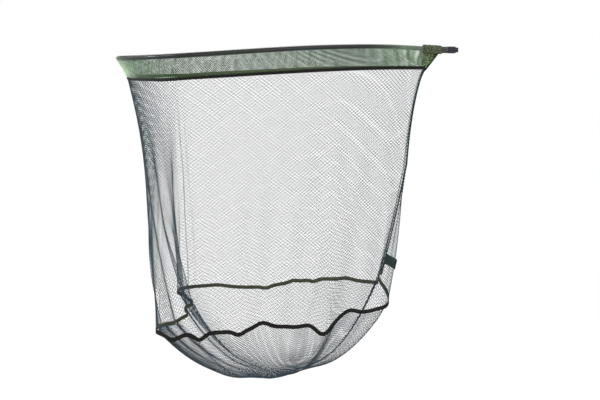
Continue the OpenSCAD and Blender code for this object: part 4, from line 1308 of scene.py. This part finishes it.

# %% [markdown]
# ## Thread
# Netting and sleeve are polyester thread, tight bundles of fine bright filaments. So each strand
# is a little lighter or darker as its twist turns, and a faint sheen lifts its edges. The strands
# are real bars, so the thread needs no relief. The sleeve's green is painted pale where its cloth
# gathers, a painted highlight for the light that its many layers catch, and painted near black
# where it is drawn thin over the tube, a painted shade for the dark tube behind it. Its marks say
# where that is.

# %% Thread


def thread(name, dark, light, patch_mm, roughness=0.55, sheen=0.25, marked=()):
    """Polyester thread: two colours mixed by the sum of fine speckle, for the twist, and
    patches of the dye. Where a piece is marked, each of the two turns to another, which is
    given with the mark."""
    material, tree = blank(name)
    both = add(tree, "ShaderNodeMath", speckle(tree, 1.6), speckle(tree, patch_mm),
        operation="ADD")
    twist = add(tree, "ShaderNodeMapRange", both, from_min=0.7, from_max=1.3)
    for mark, marked_dark, marked_light in marked:
        amount = add(tree, "ShaderNodeAttribute", attribute_name=mark).outputs["Fac"]
        dark = add(tree, "ShaderNodeMix", amount, dark, marked_dark, data_type="RGBA")
        light = add(tree, "ShaderNodeMix", amount, light, marked_light, data_type="RGBA")
    colour = add(tree, "ShaderNodeMix", twist, dark, light, data_type="RGBA")
    fibre = add(tree, "ShaderNodeBsdfPrincipled", base_color=colour, roughness=roughness,
        sheen_weight=sheen, sheen_roughness=0.4, specular_ior_level=0.25)
    add(tree, "ShaderNodeOutputMaterial", fibre)
    return material


soft = {
    # sleeve: the pale pair is a painted highlight where it gathers, the near black pair painted
    # shade over the tube
    "sleeve_mesh": thread("sheer green polyester", "#2A4630", "#4F7251", 14, 0.5, 0.15,
        (("painted_gather_light", "#A8C8A0", "#DDF0DA"), ("stretch_and_painted_shade", "#0B0D0B", "#171B16"))),
    # the blue cast of the netting's colours, here and below, is a painted sheen, the tint of
    # reflected light
    "wall_mesh": thread("dark grey netting", "#111F27", "#2E444F", 60, 0.6, 0.1),
    "base_mesh": thread("finer dark grey netting", "#15232B", "#364B58", 60, 0.6, 0.1),
}
sewing = thread("black sewing thread", "#0B0B0B", "#262622", 20)
print("threads:", len(soft) + 1)

# %% [markdown]
# ## Pressed cloth
# Round the yoke, several layers of the sleeve's cloth are bound tightly together. Their colour is
# painted dark green and olive in sharp speckle, as painted shade in the valleys of the gathers and
# painted highlight on their ridges, and the top layer's weave shows as a fine relief.
# Threads as bars would be wasted here, since no light comes through.

# %% Pressed cloth


def gathered_cloth(name, dark, light):
    """Pressed layers of cloth: two colours mixed by sharp speckle, for the painted shade of the
    gathers' valleys and the painted highlight of their ridges, under a relief of finer speckle,
    for the weave."""
    material, tree = blank(name)
    # painted shade and highlight of the gathers' valleys and ridges, placed by speckle
    painted_fold_light = add(tree, "ShaderNodeMapRange", speckle(tree, 3.0, 3.0), from_min=0.38,
        from_max=0.62)
    colour = add(tree, "ShaderNodeMix", painted_fold_light, dark, light, data_type="RGBA")
    weave = add(tree, "ShaderNodeBump", height=speckle(tree, 0.8, 3.0), strength=1.0,
        distance=0.35 * MM)
    cloth = add(tree, "ShaderNodeBsdfPrincipled", base_color=colour, normal=weave, roughness=0.8,
        specular_ior_level=0.2)
    add(tree, "ShaderNodeOutputMaterial", cloth)
    return material


soft["wrap_mesh"] = gathered_cloth("gathered green mesh", "#21271F", "#6C765C")
pressed = gathered_cloth("pressed green mesh", "#36432F", "#8B9C72")
print("cloths:", soft["wrap_mesh"].name, "and", pressed.name)

# %% [markdown]
# ## Woven tape
# A tape is woven of polyester too. Its ribs lie across it and its fine warp threads run along it,
# so it looks like a small basket weave. The weave has to turn with the tape, so it follows the
# marks left along and across each tape and not the object's coordinates. Folded round the net's
# edge, the binding shows another side within.

# %% Woven tape
WARP_MM = 0.7  # pitch of the warp threads
BLACK, OLIVE, GREEN = ("#060504", "#181611"), ("#2F2F1C", "#55553A"), ("#17241C", "#354A3B")


def woven_tape(name, outside, inside, rib_mm=1.1):
    """Woven tape: the weave is the product of two sine waves, one along the tape and one across
    it. It mixes the colours of its valleys and tops, and is the height of its relief."""
    material, tree = blank(name)
    waves = []
    for mark, pitch in (("along", rib_mm), ("across", WARP_MM)):
        run = add(tree, "ShaderNodeAttribute", attribute_name=mark).outputs["Fac"]
        turn = add(tree, "ShaderNodeMath", run, 2 * np.pi / pitch, operation="MULTIPLY")
        waves.append(add(tree, "ShaderNodeMath", turn, operation="SINE"))
    crossing = add(tree, "ShaderNodeMath", *waves, operation="MULTIPLY")
    weave = add(tree, "ShaderNodeMapRange", crossing, from_min=-1.0, from_max=1.0)
    inner = add(tree, "ShaderNodeAttribute", attribute_name="inner").outputs["Fac"]
    valleys, tops = (add(tree, "ShaderNodeMix", inner, *pair, data_type="RGBA")
        for pair in zip(outside, inside))
    colour = add(tree, "ShaderNodeMix", weave, valleys, tops, data_type="RGBA")
    ribs = add(tree, "ShaderNodeBump", height=weave, strength=0.8, distance=0.15 * MM)
    tape = add(tree, "ShaderNodeBsdfPrincipled", base_color=colour, normal=ribs, roughness=0.8,
        specular_ior_level=0.2)
    add(tree, "ShaderNodeOutputMaterial", tape)
    return material


soft["binding_tape"] = woven_tape("black woven tape", BLACK, OLIVE)
soft["seam_tape"] = woven_tape("dark green woven tape", GREEN, GREEN)
soft["label_cloth"] = woven_tape("dark green label cloth", GREEN, GREEN, 0.8)
print("soft finishes:", len(soft))

# %% [markdown]
# ## Dressing
# Every piece now gets its finish. A new piece gets the finish of the slot of the solid that it
# stands for, and a solid the finish of its own slot in the record. The solids are made of flat
# faces, so they are shaded as if they were round, apart from the edges that are sharp on the real
# part.

# %% Dressing
SHARP_DEG = 32  # faces that meet at more than this keep a sharp edge
finishes = {**hard, **soft}


def dress(piece, slot, material=None):
    """Gives a piece its slot's finish, or another."""
    piece.data.materials.clear()
    piece.data.materials.append(material or finishes[slot])


new_pieces = {"hoop_coating": [hoop], "wall_mesh": walls, "base_mesh": bases,
    "sleeve_mesh": sleeves, "wrap_mesh": [wrap], "binding_tape": [binding, base_tape],
    "seam_tape": [end_tape], "label_cloth": [tab]}
for slot, pieces in new_pieces.items():
    for piece in pieces:
        dress(piece, slot)
dress(web, "wrap_mesh", pressed)
for piece in (binding_stitches, seam_stitches, *tab_stitches):
    dress(piece, "binding_tape", sewing)
for part in frame["record"]["subparts"]:
    solid = solids[part["node"]]
    dress(solid, part["material_slot"])
    solid.data.shade_smooth()
    solid.data.set_sharp_from_angle(angle=np.radians(SHARP_DEG))
print("dressed", sum(map(len, new_pieces.values())), "large new pieces, the web and the stitches")

# %% [markdown]
# ## What each piece stands for
# A new piece takes the place of the solid that is named with it. The netting and the sleeve are
# sheets, each cut flat from cloth: the wall's four panels are quarters of one long band, the
# base's two are halves of one round, and the sleeve's two are halves of one strip.

# %% Solids that are replaced
for wall_piece, node in zip(walls, WALL_PANELS.values()):
    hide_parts(node)
for base_piece in bases:
    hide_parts("base_pan")
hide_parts("sleeve_left")
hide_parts("sleeve_right")
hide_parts("sleeve_binding")
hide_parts("base_seam")
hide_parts("handle_seam")
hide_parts("label_tab")
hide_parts("neck_wrap")
print("net panels stand for", sorted({*WALL_PANELS.values(), "base_pan"}))
